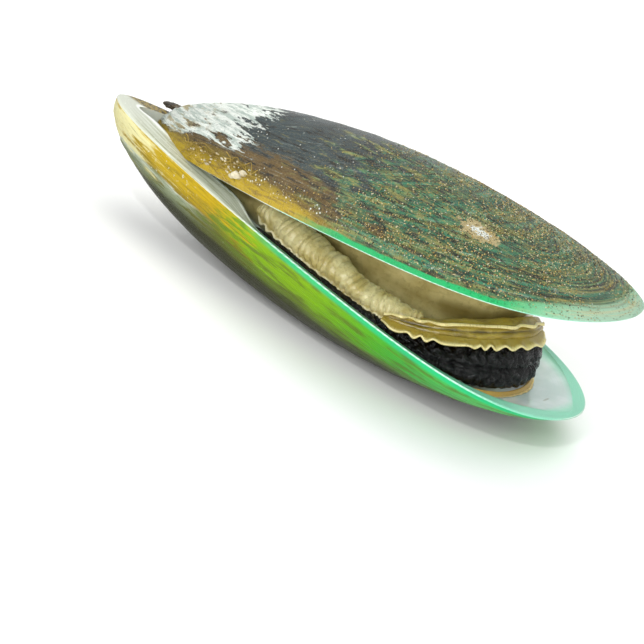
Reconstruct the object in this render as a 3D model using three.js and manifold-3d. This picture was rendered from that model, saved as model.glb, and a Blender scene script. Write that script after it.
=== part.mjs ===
// A gaping mussel: two thin shell valves, the torn hinge ligament and the cooked meat between them.
// Millimetres, +Z up, lying on the belly of the lower valve with the length along X.
import * as THREE from "three";
import { mergeVertices } from "three/addons/utils/BufferGeometryUtils.js";
import Module from "manifold-3d";

// ---------------------------------------------------------------- driving dimensions
const SHELL_LENGTH = 110;
// Edge and dome profiles as fractions of the length: amplitude * x^rise * (1 - x^reach)^fall.
const DORSAL_EDGE = { amplitude: 0.326, rise: 0.623, reach: 3.03, fall: 0.5 };
const VENTRAL_EDGE = { amplitude: 0.239, rise: 0.486, reach: 7.27, fall: 0.5 };
const DOME = { amplitude: 0.255, rise: 0.475, reach: 1.685, fall: 0.949 };
const RIDGE_AT_UMBO = 0.378;
const RIDGE_AT_TIP = 0.404;
const VENTRAL_STEEPNESS = 1.078;
const DORSAL_STEEPNESS = 1.278;

const WALL = 1.7;
const RIM_WIDTH = 1.0;
const SHELF_WIDTH = 4.2;
const SHELF_RISE = 0.6;
const SHELF_FROM = [0.0, 0.1];
const SHELF_TO = [0.31, 0.41];
const INNER_START = 0.045;
const INNER_END = 0.986;
const VALVE_STATIONS = 36;
const VALVE_SECTORS = 18;

// The upper valve is pitched open and has slipped towards the tip (degrees, millimetres).
const UPPER_TURN = [4.51, -15.69, -10.51];
const UPPER_SLIP = [9.24, 3.59, -3.3];

const CLEARANCE = 0.4;
// Meat and ligament as lofts along a path in the lower valve's own frame: the section's centre, half
// its width across the path, half its height, and how far its top leans to the path's left.
const MANTLE_BODY = [
  { x: 26, y: 2.5, z: -1.5, width: 4, height: 2.5, lean: 0 },
  { x: 34, y: 3, z: 0.5, width: 7, height: 5.5, lean: 1 },
  { x: 45, y: 3.5, z: 2, width: 8.5, height: 9, lean: 2 },
  { x: 58, y: 4.5, z: 4, width: 10, height: 13, lean: 2 },
  { x: 70, y: 5, z: 6, width: 10.5, height: 16, lean: 1 },
  { x: 80, y: 6, z: 8, width: 10, height: 17, lean: -1 },
  { x: 87, y: 7, z: 10, width: 8, height: 14, lean: -2 },
  { x: 91, y: 7.5, z: 12, width: 4, height: 8, lean: -2 },
];
const GILL_BAND = [
  { x: 40, y: -7.6, z: 0.6, width: 0.9, height: 0.9, lean: 0 },
  { x: 44, y: -9, z: 1.2, width: 1.7, height: 1.6, lean: 0.3 },
  { x: 50, y: -10.6, z: 1.5, width: 2.2, height: 2, lean: 0.5 },
  { x: 58, y: -11.8, z: 1.3, width: 2.2, height: 1.9, lean: 0.5 },
  { x: 67, y: -12.4, z: 0.7, width: 1.9, height: 1.6, lean: 0.4 },
  { x: 74, y: -12, z: 1.2, width: 1.6, height: 1.3, lean: 0.3 },
  { x: 79, y: -10.5, z: 2, width: 0.9, height: 0.8, lean: 0 },
];
const DARK_MARGIN = [
  { x: 42, y: -13.2, z: -1.8, width: 0.7, height: 1.2, lean: 0.2 },
  { x: 52, y: -15, z: -1.9, width: 1.1, height: 1.5, lean: 0.3 },
  { x: 64, y: -16.4, z: -2.1, width: 1.5, height: 1.6, lean: 0.4 },
  { x: 74, y: -16.4, z: -2.2, width: 2, height: 2, lean: 0.8 },
  { x: 82, y: -14.4, z: -1.8, width: 2.6, height: 3, lean: 1.4 },
  { x: 88, y: -11, z: -0.8, width: 3, height: 3.8, lean: 1.8 },
  { x: 92.5, y: -6.5, z: 0, width: 3.2, height: 4.4, lean: 1.9 },
  { x: 95, y: -1, z: 0.6, width: 2.8, height: 4.7, lean: 1.6 },
  { x: 95.3, y: 5, z: 0.9, width: 2.2, height: 4.4, lean: 1.2 },
  { x: 93.6, y: 10, z: 1, width: 1.2, height: 3, lean: 0.6 },
];
const YELLOW_MARGIN = [
  { x: 73, y: -14.2, z: -0.2, width: 1, height: 0.6, lean: 0.2 },
  { x: 80, y: -11.6, z: 1.5, width: 1.9, height: 1.3, lean: 0.5 },
  { x: 84, y: -9.6, z: 3.2, width: 2.2, height: 1.7, lean: 0.6 },
  { x: 88, y: -6, z: 4.9, width: 2.4, height: 1.9, lean: 0.6 },
  { x: 91, y: -2.5, z: 6.4, width: 2.4, height: 2.1, lean: 0.6 },
  { x: 93, y: 2, z: 7.4, width: 2.2, height: 2, lean: 0.5 },
  { x: 93.3, y: 6.5, z: 7.6, width: 1.2, height: 1.4, lean: 0.2 },
];
const LIGAMENT = [
  { x: 6, y: 6.2, z: 1, width: 0.6, height: 0.5, lean: 0 },
  { x: 9, y: 7.6, z: 1.1, width: 0.8, height: 0.6, lean: 0 },
  { x: 14, y: 10, z: 1.15, width: 0.9, height: 0.65, lean: 0 },
  { x: 20, y: 12.4, z: 1.15, width: 0.9, height: 0.65, lean: 0 },
  { x: 27, y: 14.9, z: 1.1, width: 0.8, height: 0.6, lean: 0 },
  { x: 34, y: 17, z: 1, width: 0.6, height: 0.5, lean: 0 },
];

// The lower valve lies tilted a little on its belly, with a small worn flat under it.
const REST_PITCH = 6.17;
const REST_ROLL = -2.26;
const WORN_DEPTH = 0.25;

// ---------------------------------------------------------------- valve surface
const rad = THREE.MathUtils.degToRad;
const clamp01 = (v) => Math.min(1, Math.max(0, v));
const ease = (from, to, v) => THREE.MathUtils.smoothstep(v, from, to);

function profile(x, { amplitude, rise, reach, fall }) {
  const t = clamp01(x);
  return amplitude * t ** rise * Math.max(0, 1 - t ** reach) ** fall;
}

function shelf(x) {
  return ease(...SHELF_FROM, x) * (1 - ease(...SHELF_TO, x));
}

// Ventral reach, dorsal reach and depth of the outer skin at a station, in millimetres.
function outerStation(x) {
  return {
    x: x * SHELL_LENGTH,
    ventral: profile(x, VENTRAL_EDGE) * SHELL_LENGTH,
    dorsal: profile(x, DORSAL_EDGE) * SHELL_LENGTH,
    depth: profile(x, DOME) * SHELL_LENGTH,
    ridge: RIDGE_AT_UMBO + (RIDGE_AT_TIP - RIDGE_AT_UMBO) * x,
    lift: 0,
  };
}

// The same for the inner skin, which starts behind the umbo and stays a wall inside the outer one.
function innerStation(t) {
  const x = INNER_START + (INNER_END - INNER_START) * t;
  const outer = outerStation(x);
  const closing = Math.sqrt(Math.max(0, 1 - (1 - 2 * t) ** 8));
  return {
    ...outer,
    ventral: (outer.ventral - RIM_WIDTH - SHELF_WIDTH * shelf(x)) * closing,
    dorsal: (outer.dorsal - RIM_WIDTH) * closing,
    depth: Math.max(0, outer.depth - WALL) * closing,
    lift: SHELF_RISE * shelf(x) * closing,
  };
}

// A point of a section: 0 is the ventral edge, pi the dorsal edge, and the dome rises along +Z.
function sectionPoint(station, angle) {
  const { ventral, dorsal, depth, ridge } = station;
  const across = Math.cos(angle);
  const ridgeY = -ventral + (ventral + dorsal) * ridge;
  const reach = across >= 0 ? ridgeY + ventral : dorsal - ridgeY;
  const steepness = across >= 0 ? VENTRAL_STEEPNESS : DORSAL_STEEPNESS;
  const edge = clamp01(across) ** 6;
  const z = depth * Math.max(0, Math.sin(angle)) ** steepness - station.lift * edge;
  return new THREE.Vector3(station.x, ridgeY - reach * across, z);
}

function valveGeometry(stations, sectors, growth) {
  const points = [];
  const triangles = [];
  const skins = [(t) => grown(outerStation(t), growth), (t) => grown(innerStation(t), -growth)];
  const rows = skins.map((skin) => {
    const grid = [];
    for (let i = 0; i <= stations; i += 1) {
      const t = (1 - Math.cos((Math.PI * i) / stations)) / 2;
      const pole = i === 0 || i === stations;
      const row = [];
      for (let j = 0; j <= sectors; j += 1) {
        if (!pole || j === 0) points.push(sectionPoint(skin(t), (Math.PI * j) / sectors));
        row.push(points.length - 1);
      }
      grid.push(row);
    }
    return grid;
  });
  const addQuad = (a, b, c, d) => {
    for (const tri of [[a, b, c], [a, c, d]]) {
      if (new Set(tri).size === 3) triangles.push(...tri);
    }
  };
  const [outer, inner] = rows;
  for (let i = 0; i < stations; i += 1) {
    for (let j = 0; j < sectors; j += 1) {
      addQuad(outer[i][j], outer[i + 1][j], outer[i + 1][j + 1], outer[i][j + 1]);
      addQuad(inner[i][j], inner[i][j + 1], inner[i + 1][j + 1], inner[i + 1][j]);
    }
    const last = sectors;
    addQuad(outer[i][0], inner[i][0], inner[i + 1][0], outer[i + 1][0]);
    addQuad(outer[i][last], outer[i + 1][last], inner[i + 1][last], inner[i][last]);
  }
  return indexed(points, triangles);
}

// The same valve with every wall thicker by the clearance, for trimming its neighbours.
function grown(station, amount) {
  return {
    ...station,
    ventral: Math.max(0, station.ventral + amount),
    dorsal: Math.max(0, station.dorsal + amount),
    depth: Math.max(0, station.depth + amount),
  };
}

function indexed(points, triangles) {
  const geometry = new THREE.BufferGeometry().setFromPoints(points);
  geometry.setIndex(triangles);
  return geometry;
}

function turnedInsideOut(geometry) {
  const index = geometry.index.array;
  for (let k = 0; k < index.length; k += 3) [index[k], index[k + 1]] = [index[k + 1], index[k]];
  return geometry;
}

const asLower = (geometry) => turnedInsideOut(geometry.scale(1, 1, -1));

// ---------------------------------------------------------------- space between the valves
const lowerToUpper = new THREE.Matrix4()
  .makeRotationFromEuler(new THREE.Euler(...UPPER_TURN.map(rad), "ZYX"))
  .setPosition(...UPPER_SLIP)
  .invert();
const upperToLower = lowerToUpper.clone().invert();

// Height of the inner skin's dome over a point of the valve's own plane, 0 outside its edge.
function hollow(x, y) {
  const t = (x / SHELL_LENGTH - INNER_START) / (INNER_END - INNER_START);
  if (t <= 0 || t >= 1) return 0;
  const station = innerStation(t);
  const ridgeY = -station.ventral + (station.ventral + station.dorsal) * station.ridge;
  const reach = y < ridgeY ? ridgeY + station.ventral : station.dorsal - ridgeY;
  const steepness = y < ridgeY ? VENTRAL_STEEPNESS : DORSAL_STEEPNESS;
  const across = Math.min(1, Math.abs(y - ridgeY) / Math.max(reach, 1e-6));
  return station.depth * (1 - across * across) ** (steepness / 2);
}

// Moves a point of the meat up from the lower valve and down from the upper one.
function betweenValves(point) {
  const floor = -hollow(point.x, point.y) + CLEARANCE;
  point.z = Math.max(point.z, floor);
  const local = point.clone().applyMatrix4(lowerToUpper);
  const ceiling = hollow(local.x, local.y) - CLEARANCE;
  if (local.z > ceiling) {
    local.z = ceiling;
    point.copy(local.applyMatrix4(upperToLower));
  }
  return point;
}

// A closed solid through oval sections that stand across a smoothed path. An enclosed one is kept
// between the valves' inner skins.
function loftGeometry(keys, steps, sides, enclosed) {
  const names = Object.keys(keys[0]);
  const curves = names.map((name) => new THREE.SplineCurve(
    keys.map((key, i) => new THREE.Vector2(i, key[name])),
  ));
  const stationAt = (t) => Object.fromEntries(names.map((name, k) => [name, curves[k].getPoint(t).y]));
  const points = [];
  const triangles = [];
  const rings = [];
  for (let i = 0; i <= steps; i += 1) {
    const here = stationAt(i / steps);
    const before = stationAt(Math.max(0, (i - 0.5) / steps));
    const after = stationAt(Math.min(1, (i + 0.5) / steps));
    const left = new THREE.Vector3(before.y - after.y, after.x - before.x, 0).normalize();
    const ring = [];
    for (let j = 0; j < sides; j += 1) {
      const angle = (2 * Math.PI * j) / sides;
      const up = Math.sin(angle);
      const sideways = here.width * Math.cos(angle) + here.lean * up;
      ring.push(points.length);
      const point = new THREE.Vector3(
        here.x + left.x * sideways,
        here.y + left.y * sideways,
        here.z + here.height * up,
      );
      points.push(enclosed ? betweenValves(point) : point);
    }
    rings.push(ring);
  }
  for (let i = 0; i < steps; i += 1) {
    for (let j = 0; j < sides; j += 1) {
      const next = (j + 1) % sides;
      triangles.push(rings[i][j], rings[i + 1][j], rings[i + 1][next]);
      triangles.push(rings[i][j], rings[i + 1][next], rings[i][next]);
    }
  }
  for (const ring of [rings[0], rings[steps].slice().reverse()]) {
    const centre = ring.reduce((sum, k) => sum.add(points[k]), new THREE.Vector3());
    points.push(centre.divideScalar(ring.length));
    for (let j = 0; j < sides; j += 1) {
      triangles.push(points.length - 1, ring[j], ring[(j + 1) % sides]);
    }
  }
  return turnedInsideOut(indexed(points, triangles));
}

// ---------------------------------------------------------------- joining and cutting
const wasm = await Module();
wasm.setup();

function toSolid(geometry) {
  const plain = new THREE.BufferGeometry();
  plain.setAttribute("position", geometry.attributes.position);
  plain.setIndex(geometry.index);
  const merged = mergeVertices(plain, 1e-4);
  return new wasm.Manifold(new wasm.Mesh({
    numProp: 3,
    vertProperties: new Float32Array(merged.attributes.position.array),
    triVerts: new Uint32Array(merged.index.array),
  }));
}

function toGeometry(solid) {
  const pieces = solid.decompose();
  pieces.sort((a, b) => b.volume() - a.volume());
  const mesh = pieces[0].getMesh();
  const geometry = new THREE.BufferGeometry();
  geometry.setAttribute("position", new THREE.BufferAttribute(new Float32Array(mesh.vertProperties), 3));
  geometry.setIndex(new THREE.BufferAttribute(new Uint32Array(mesh.triVerts), 1));
  return geometry;
}

// ---------------------------------------------------------------- the pieces, in the lower valve's frame
const attitude = new THREE.Matrix4().makeRotationFromEuler(
  new THREE.Euler(rad(REST_ROLL), rad(REST_PITCH), 0, "YXZ"),
);

const plainValve = () => valveGeometry(VALVE_STATIONS, VALVE_SECTORS, 0);
const trimmingValve = () => valveGeometry(VALVE_STATIONS, VALVE_SECTORS, CLEARANCE);

const upperPlaced = plainValve().applyMatrix4(upperToLower);
const lowerGrown = toSolid(asLower(trimmingValve()).translate(0, 0, CLEARANCE));
const upperGrown = toSolid(trimmingValve().translate(0, 0, -CLEARANCE).applyMatrix4(upperToLower));

function lowerWithFlat() {
  const valve = asLower(plainValve()).applyMatrix4(attitude);
  valve.computeBoundingBox();
  const under = new THREE.BoxGeometry(400, 400, 20);
  under.translate(0, 0, valve.boundingBox.min.z + WORN_DEPTH - 10);
  return toGeometry(toSolid(valve).subtract(toSolid(under))).applyMatrix4(attitude.clone().invert());
}

const lowerSolid = lowerWithFlat();
const upperSolid = toGeometry(toSolid(upperPlaced).subtract(lowerGrown));

// Soft pieces give way in this order: each is cut clear of the valves and of the pieces before it.
const softShapes = {
  dark_mantle_margin: { keys: DARK_MARGIN, steps: 28, sides: 12, enclosed: true },
  yellow_mantle_margin: { keys: YELLOW_MARGIN, steps: 22, sides: 12, enclosed: true },
  gill_band: { keys: GILL_BAND, steps: 22, sides: 12, enclosed: true },
  mantle_body: { keys: MANTLE_BODY, steps: 26, sides: 24, enclosed: true },
  hinge_ligament: { keys: LIGAMENT, steps: 18, sides: 8, enclosed: false },
};
const taken = [lowerGrown, upperGrown];
const softSolids = {};
for (const [name, { keys, steps, sides, enclosed }] of Object.entries(softShapes)) {
  let solid = toSolid(loftGeometry(keys, steps, sides, enclosed));
  for (const other of taken) solid = solid.subtract(other);
  softSolids[name] = toGeometry(solid);
  const wider = keys.map((key) => ({
    ...key,
    width: key.width + CLEARANCE,
    height: key.height + CLEARANCE,
  }));
  taken.push(toSolid(loftGeometry(wider, steps, sides, enclosed)));
}

// ---------------------------------------------------------------- finishes
const finish = (color, roughness) => new THREE.MeshStandardMaterial({ color, roughness, metalness: 0 });
const finishes = {
  lower_valve: finish(0x5f9a35, 0.35),
  upper_valve: finish(0x4b4a35, 0.4),
  hinge_ligament: finish(0x1e1712, 0.45),
  mantle_body: finish(0xb09a62, 0.4),
  gill_band: finish(0xcdbb86, 0.45),
  yellow_mantle_margin: finish(0x9a7d2a, 0.35),
  dark_mantle_margin: finish(0x0c0b0a, 0.25),
};
const solids = { lower_valve: lowerSolid, upper_valve: upperSolid, ...softSolids };

const resting = new THREE.Group();
for (const [name, geometry] of Object.entries(solids)) {
  const mesh = new THREE.Mesh(geometry.toNonIndexed(), finishes[name]);
  mesh.geometry.computeVertexNormals();
  mesh.name = name;
  resting.add(mesh);
}
resting.setRotationFromMatrix(attitude);

const group = new THREE.Group();
group.add(resting);
group.updateMatrixWorld(true);
const box = new THREE.Box3().setFromObject(group, true);
const centre = box.getCenter(new THREE.Vector3());
resting.position.set(-centre.x, -centre.y, -box.min.z);
group.updateMatrixWorld(true);

export default group;
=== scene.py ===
"""A gaping green-lipped mussel: two shell valves, the hinge ligament and the cooked meat between them.

Shapes are worked out in millimetres in the lower valve's own frame (umbo at the origin, length along
X, rim in the plane z = 0, ventral side at negative Y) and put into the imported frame, in metres, last.
"""
import logging
import math
from dataclasses import dataclass, field
from enum import Enum
from functools import lru_cache
from typing import Callable, Sequence

import bmesh
import bpy
import numpy as np
from mathutils import Matrix, Vector


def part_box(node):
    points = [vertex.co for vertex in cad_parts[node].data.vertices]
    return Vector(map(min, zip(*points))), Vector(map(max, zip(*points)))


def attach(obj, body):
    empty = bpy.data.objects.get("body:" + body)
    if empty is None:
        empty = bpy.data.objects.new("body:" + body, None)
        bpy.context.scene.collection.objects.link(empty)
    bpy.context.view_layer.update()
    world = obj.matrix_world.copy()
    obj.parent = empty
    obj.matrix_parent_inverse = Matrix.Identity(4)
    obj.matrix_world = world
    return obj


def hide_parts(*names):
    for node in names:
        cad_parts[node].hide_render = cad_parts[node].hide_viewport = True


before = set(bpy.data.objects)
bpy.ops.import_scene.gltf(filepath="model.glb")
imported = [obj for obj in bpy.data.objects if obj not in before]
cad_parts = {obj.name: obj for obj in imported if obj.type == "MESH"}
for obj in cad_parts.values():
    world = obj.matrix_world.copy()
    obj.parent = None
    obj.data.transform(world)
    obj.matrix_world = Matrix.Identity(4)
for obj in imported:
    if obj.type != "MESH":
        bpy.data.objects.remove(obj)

logging.basicConfig(level=logging.INFO, format="%(message)s")
log = logging.getLogger("mussel")

METRES_PER_MM = 0.001
BODY = "root"

Array = np.ndarray
Colour = tuple[float, float, float, float]


# ---------------------------------------------------------------- small mathematics
def smooth_step(value: Array, low: float, high: float) -> Array:
    """Ramp from 0 at low to 1 at high with level ends.

    Args:
        value: Numbers to ramp.
        low: Where the ramp starts.
        high: Where the ramp ends.

    Returns:
        Numbers between 0 and 1.
    """
    share = np.clip((np.asarray(value, float) - low) / (high - low), 0.0, 1.0)
    return share * share * (3.0 - 2.0 * share)


def turn(axis: str, degrees: float) -> Array:
    """Rotation matrix about one axis."""
    return np.array(Matrix.Rotation(math.radians(degrees), 3, axis))


def paint(code: str) -> Colour:
    """Linear colour of a six-digit code such as #80FF00."""
    parts = [int(code[k:k + 2], 16) / 255.0 for k in (1, 3, 5)]
    return (*(c / 12.92 if c <= 0.04045 else ((c + 0.055) / 1.055) ** 2.4 for c in parts), 1.0)


def spline(keys: Array, share: Array) -> Array:
    """Uniform Catmull-Rom curve through rows of keys.

    Args:
        keys: One row of numbers for each key.
        share: Places along the keys, from 0 to 1.

    Returns:
        One row of numbers for each place.
    """
    last = len(keys) - 1
    place = np.clip(share, 0.0, 1.0) * last
    here = np.minimum(place.astype(int), last - 1)
    rest = (place - here)[:, None]
    before, start = keys[np.maximum(here - 1, 0)], keys[here]
    end, after = keys[here + 1], keys[np.minimum(here + 2, last)]
    leave, arrive = (end - before) / 2.0, (after - start) / 2.0
    return (
        (2 * start - 2 * end + leave + arrive) * rest**3
        + (3 * end - 3 * start - 2 * leave - arrive) * rest**2
        + leave * rest
        + start
    )


@dataclass(frozen=True)
class Unevenness:
    """Smooth seeded random field over two coordinates, with values between -1 and 1."""

    seed: int
    cells: int = 97

    def at(self, first: Array, second: Array | float = 0.0) -> Array:
        """Field values.

        Args:
            first: First coordinate, with features about one unit wide.
            second: Second coordinate, of a shape that goes with the first.

        Returns:
            Values at the coordinates.
        """
        lattice = np.random.default_rng(self.seed).uniform(-1.0, 1.0, (self.cells, self.cells))
        u, v = np.broadcast_arrays(np.asarray(first, float), np.asarray(second, float))
        i, j = np.floor(u).astype(int), np.floor(v).astype(int)
        a, b = smooth_step(u - i, 0.0, 1.0), smooth_step(v - j, 0.0, 1.0)

        def corner(di: int, dj: int) -> Array:
            """Lattice values at one corner of each point's cell."""
            return lattice[(i + di) % self.cells, (j + dj) % self.cells]

        low = corner(0, 0) * (1 - a) + corner(1, 0) * a
        high = corner(0, 1) * (1 - a) + corner(1, 1) * a
        return low * (1 - b) + high * b


# ---------------------------------------------------------------- the valve's form
@dataclass(frozen=True)
class Outline:
    """Profile along the valve as a share of its length: amplitude * x^rise * (1 - x^reach)^fall."""

    amplitude: float
    rise: float
    reach: float
    fall: float

    def at(self, along: Array) -> Array:
        """Height of the profile at shares of the length."""
        x = np.clip(along, 0.0, 1.0)
        return self.amplitude * x**self.rise * np.maximum(0.0, 1.0 - x**self.reach) ** self.fall


@dataclass(frozen=True)
class Stations:
    """Cross-sections of one skin of a valve, in millimetres, one array entry for each station."""

    x: Array
    ventral: Array
    dorsal: Array
    depth: Array
    ridge: Array
    lift: Array


@dataclass(frozen=True)
class ValveForm:
    """Form of either valve, dome towards +Z, in millimetres."""

    length: float = 110.0
    dorsal_edge: Outline = Outline(0.326, 0.623, 3.03, 0.5)
    ventral_edge: Outline = Outline(0.239, 0.486, 7.27, 0.5)
    dome: Outline = Outline(0.255, 0.475, 1.685, 0.949)
    ridge_at_umbo: float = 0.378
    ridge_at_tip: float = 0.404
    ventral_steepness: float = 1.078
    dorsal_steepness: float = 1.278
    wall: float = 1.7
    rim_width: float = 1.0
    shelf_width: float = 4.2
    shelf_rise: float = 0.6
    inner_start: float = 0.045
    inner_end: float = 0.986

    def shelf(self, along: Array) -> Array:
        """Share of the full shelf width at shares of the length."""
        return smooth_step(along, 0.0, 0.1) * (1.0 - smooth_step(along, 0.31, 0.41))

    def outer(self, share: Array) -> Stations:
        """Outer skin's sections.

        Args:
            share: Shares of the way along the valve.

        Returns:
            The sections.
        """
        return Stations(
            x=share * self.length,
            ventral=self.ventral_edge.at(share) * self.length,
            dorsal=self.dorsal_edge.at(share) * self.length,
            depth=self.dome.at(share) * self.length,
            ridge=self.ridge_at_umbo + (self.ridge_at_tip - self.ridge_at_umbo) * share,
            lift=np.zeros_like(share),
        )

    def inner(self, share: Array) -> Stations:
        """Inner skin's sections, closed at both ends of the hollow.

        Args:
            share: Shares of the way along the hollow.

        Returns:
            The sections.
        """
        x = self.inner_start + (self.inner_end - self.inner_start) * share
        out = self.outer(x)
        closing = np.sqrt(np.maximum(0.0, 1.0 - (1.0 - 2.0 * share) ** 8))
        shelf = self.shelf(x)
        return Stations(
            x=out.x,
            ventral=(out.ventral - self.rim_width - self.shelf_width * shelf) * closing,
            dorsal=(out.dorsal - self.rim_width) * closing,
            depth=np.maximum(0.0, out.depth - self.wall) * closing,
            ridge=out.ridge,
            lift=self.shelf_rise * shelf * closing,
        )

    def skin(self, stations: Stations, angles: Array) -> Array:
        """Points of a skin.

        Args:
            stations: Sections along the valve.
            angles: Angles round a section, 0 at the ventral edge and pi at the dorsal edge.

        Returns:
            Points, as stations by angles by three.
        """
        across = np.cos(angles)[None, :]
        ridge_y = (-stations.ventral + (stations.ventral + stations.dorsal) * stations.ridge)[:, None]
        ventral_reach = ridge_y + stations.ventral[:, None]
        dorsal_reach = stations.dorsal[:, None] - ridge_y
        reach = np.where(across >= 0, ventral_reach, dorsal_reach)
        steepness = np.where(across >= 0, self.ventral_steepness, self.dorsal_steepness)
        height = np.maximum(0.0, np.sin(angles))[None, :] ** steepness
        z = stations.depth[:, None] * height - stations.lift[:, None] * np.clip(across, 0, 1) ** 6
        x = np.broadcast_to(stations.x[:, None], z.shape)
        return np.stack([x, ridge_y - reach * across, z], axis=-1)

    def hollow(self, x: Array, y: Array) -> Array:
        """Height of the inner skin over points of the rim plane, 0 outside its edge.

        Args:
            x: Places along the valve.
            y: Places across it.

        Returns:
            The heights.
        """
        share = (x / self.length - self.inner_start) / (self.inner_end - self.inner_start)
        inside = (share > 0) & (share < 1)
        s = self.inner(np.clip(share, 1e-6, 1 - 1e-6))
        ridge_y = -s.ventral + (s.ventral + s.dorsal) * s.ridge
        ventral = y < ridge_y
        reach = np.where(ventral, ridge_y + s.ventral, s.dorsal - ridge_y)
        steepness = np.where(ventral, self.ventral_steepness, self.dorsal_steepness)
        across = np.minimum(1.0, np.abs(y - ridge_y) / np.maximum(reach, 1e-6))
        return np.where(inside, s.depth * (1.0 - across**2) ** (steepness / 2.0), 0.0)

    def rim_line(self, count: int) -> Array:
        """Closed line round the rim, count points a side.

        Args:
            count: Points a side.

        Returns:
            The points.
        """
        share = (1.0 - np.cos(np.linspace(0.0, math.pi, count))) / 2.0
        s = self.outer(share)
        flat = np.zeros(count)
        ventral = np.stack([s.x, -s.ventral, flat], axis=-1)
        dorsal = np.stack([s.x, s.dorsal, flat], axis=-1)
        return np.vstack([ventral, dorsal[-2:0:-1]])


@dataclass(frozen=True)
class Lie:
    """How the upper valve lies on the lower one, and the lower one on the table."""

    upper_turn: tuple[float, float, float] = (4.51, -15.69, -10.51)
    upper_slip: tuple[float, float, float] = (9.24, 3.59, -3.3)
    rest_pitch: float = 6.17
    rest_roll: float = -2.26
    worn_depth: float = 0.25

    def _gape(self) -> Array:
        """Rotation of the upper valve in the lower one's frame."""
        about_x, about_y, about_z = self.upper_turn
        return turn("Z", about_z) @ turn("Y", about_y) @ turn("X", about_x)

    def upper_to_lower(self, points: Array) -> Array:
        """Points of the upper valve's frame in the lower valve's frame."""
        return points @ self._gape().T + np.array(self.upper_slip)

    def lower_to_upper(self, points: Array) -> Array:
        """Points of the lower valve's frame in the upper valve's frame."""
        return (points - np.array(self.upper_slip)) @ self._gape()

    def attitude(self) -> Array:
        """Rotation of the lower valve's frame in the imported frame."""
        return turn("Y", self.rest_pitch) @ turn("X", self.rest_roll)

    def landing(self, lower_points: Array) -> Array:
        """Offset that puts the lower valve into its packed box, in millimetres.

        Args:
            lower_points: Points of the lower valve in its own frame.

        Returns:
            The offset.
        """
        turned = lower_points @ self.attitude().T
        low, high = (np.array(c) / METRES_PER_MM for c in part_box("lower_valve"))
        centre = (low + high) / 2.0 - (turned.min(0) + turned.max(0)) / 2.0
        return np.array([centre[0], centre[1], -turned[:, 2].min() - self.worn_depth])


# ---------------------------------------------------------------- meshes
@dataclass
class Surface:
    """Points, faces, point attributes and a material place for each face."""

    points: Array
    faces: list[list[int]]
    places: list[int] = field(default_factory=list)
    attributes: dict[str, Array] = field(default_factory=dict)


class Workshop:
    """Turns surfaces in the lower valve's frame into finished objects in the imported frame."""

    def __init__(self, form: ValveForm, lie: Lie) -> None:
        """Args:
            form: The valves' form.
            lie: How the valves lie.
        """
        self.form = form
        self.lie = lie
        share = (1.0 - np.cos(np.linspace(0.0, math.pi, 240))) / 2.0
        lower = form.skin(form.outer(share), np.linspace(0.0, math.pi, 90)).reshape(-1, 3)
        self.offset = lie.landing(lower * np.array([1.0, 1.0, -1.0]))

    def to_row(self, points: Array) -> Array:
        """Packed place, in metres, of points in the lower valve's frame.

        Args:
            points: Points in the lower valve's frame, in millimetres.

        Returns:
            The placed points.
        """
        placed = points @ self.lie.attitude().T + self.offset
        placed[:, 2] = np.maximum(placed[:, 2], 0.0)
        return placed * METRES_PER_MM

    def between_valves(self, points: Array, clearance: float = 0.3) -> Array:
        """Points moved up from the lower valve's inner skin and down from the upper one's.

        Args:
            points: Points in the lower valve's frame.
            clearance: Gap kept to each skin.

        Returns:
            The moved points.
        """
        out = points.copy()
        out[:, 2] = np.maximum(out[:, 2], -self.form.hollow(out[:, 0], out[:, 1]) + clearance)
        local = self.lie.lower_to_upper(out)
        ceiling = self.form.hollow(local[:, 0], local[:, 1]) - clearance
        high = local[:, 2] > ceiling
        local[high, 2] = ceiling[high]
        out[high] = self.lie.upper_to_lower(local[high])
        return out

    def make(self, name: str, surface: Surface, materials: Sequence[bpy.types.Material]) -> bpy.types.Object:
        """One smooth object at the origin, with its place in its mesh.

        Args:
            name: The piece's name.
            surface: Its surface in the lower valve's frame.
            materials: Its materials in the order of the surface's places.

        Returns:
            The new object.
        """
        mesh = bpy.data.meshes.new(name)
        mesh.from_pydata(self.to_row(surface.points).tolist(), [], surface.faces)
        for material in materials:
            mesh.materials.append(material)
        if surface.places:
            mesh.polygons.foreach_set("material_index", surface.places)
        for label, values in surface.attributes.items():
            kind, key = ("FLOAT_VECTOR", "vector") if values.ndim == 2 else ("FLOAT", "value")
            layer = mesh.attributes.new(label, kind, "POINT")
            layer.data.foreach_set(key, values.astype(np.float32).ravel())
        mesh.shade_smooth()
        mesh.update()
        piece = bpy.data.objects.new(name, mesh)
        bpy.context.scene.collection.objects.link(piece)
        return piece


def report(piece: bpy.types.Object) -> None:
    """Logs a finished piece."""
    log.info("%s: %d vertices, %d faces", piece.name, len(piece.data.vertices), len(piece.data.polygons))


def vertex_normals(points: Array, faces: list[list[int]]) -> Array:
    """Unit normals at the points of a surface.

    Args:
        points: Points of the surface.
        faces: Rings of point numbers.

    Returns:
        One unit normal a point.
    """
    total = np.zeros_like(points)
    for size in (3, 4):
        rows = np.array([f for f in faces if len(f) == size], int)
        if len(rows):
            a, b, c = points[rows[:, 0]], points[rows[:, 1]], points[rows[:, 2]]
            push = np.cross(b - a, c - a)
            if size == 4:
                push = np.cross(c - a, points[rows[:, 3]] - b)
            for k in range(size):
                np.add.at(total, rows[:, k], push)
    return total / np.maximum(np.linalg.norm(total, axis=1, keepdims=True), 1e-12)


# ---------------------------------------------------------------- shader tools
Socket = bpy.types.NodeSocket
Outputs = bpy.types.bpy_prop_collection
Value = float | str | Sequence[float] | Socket


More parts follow.
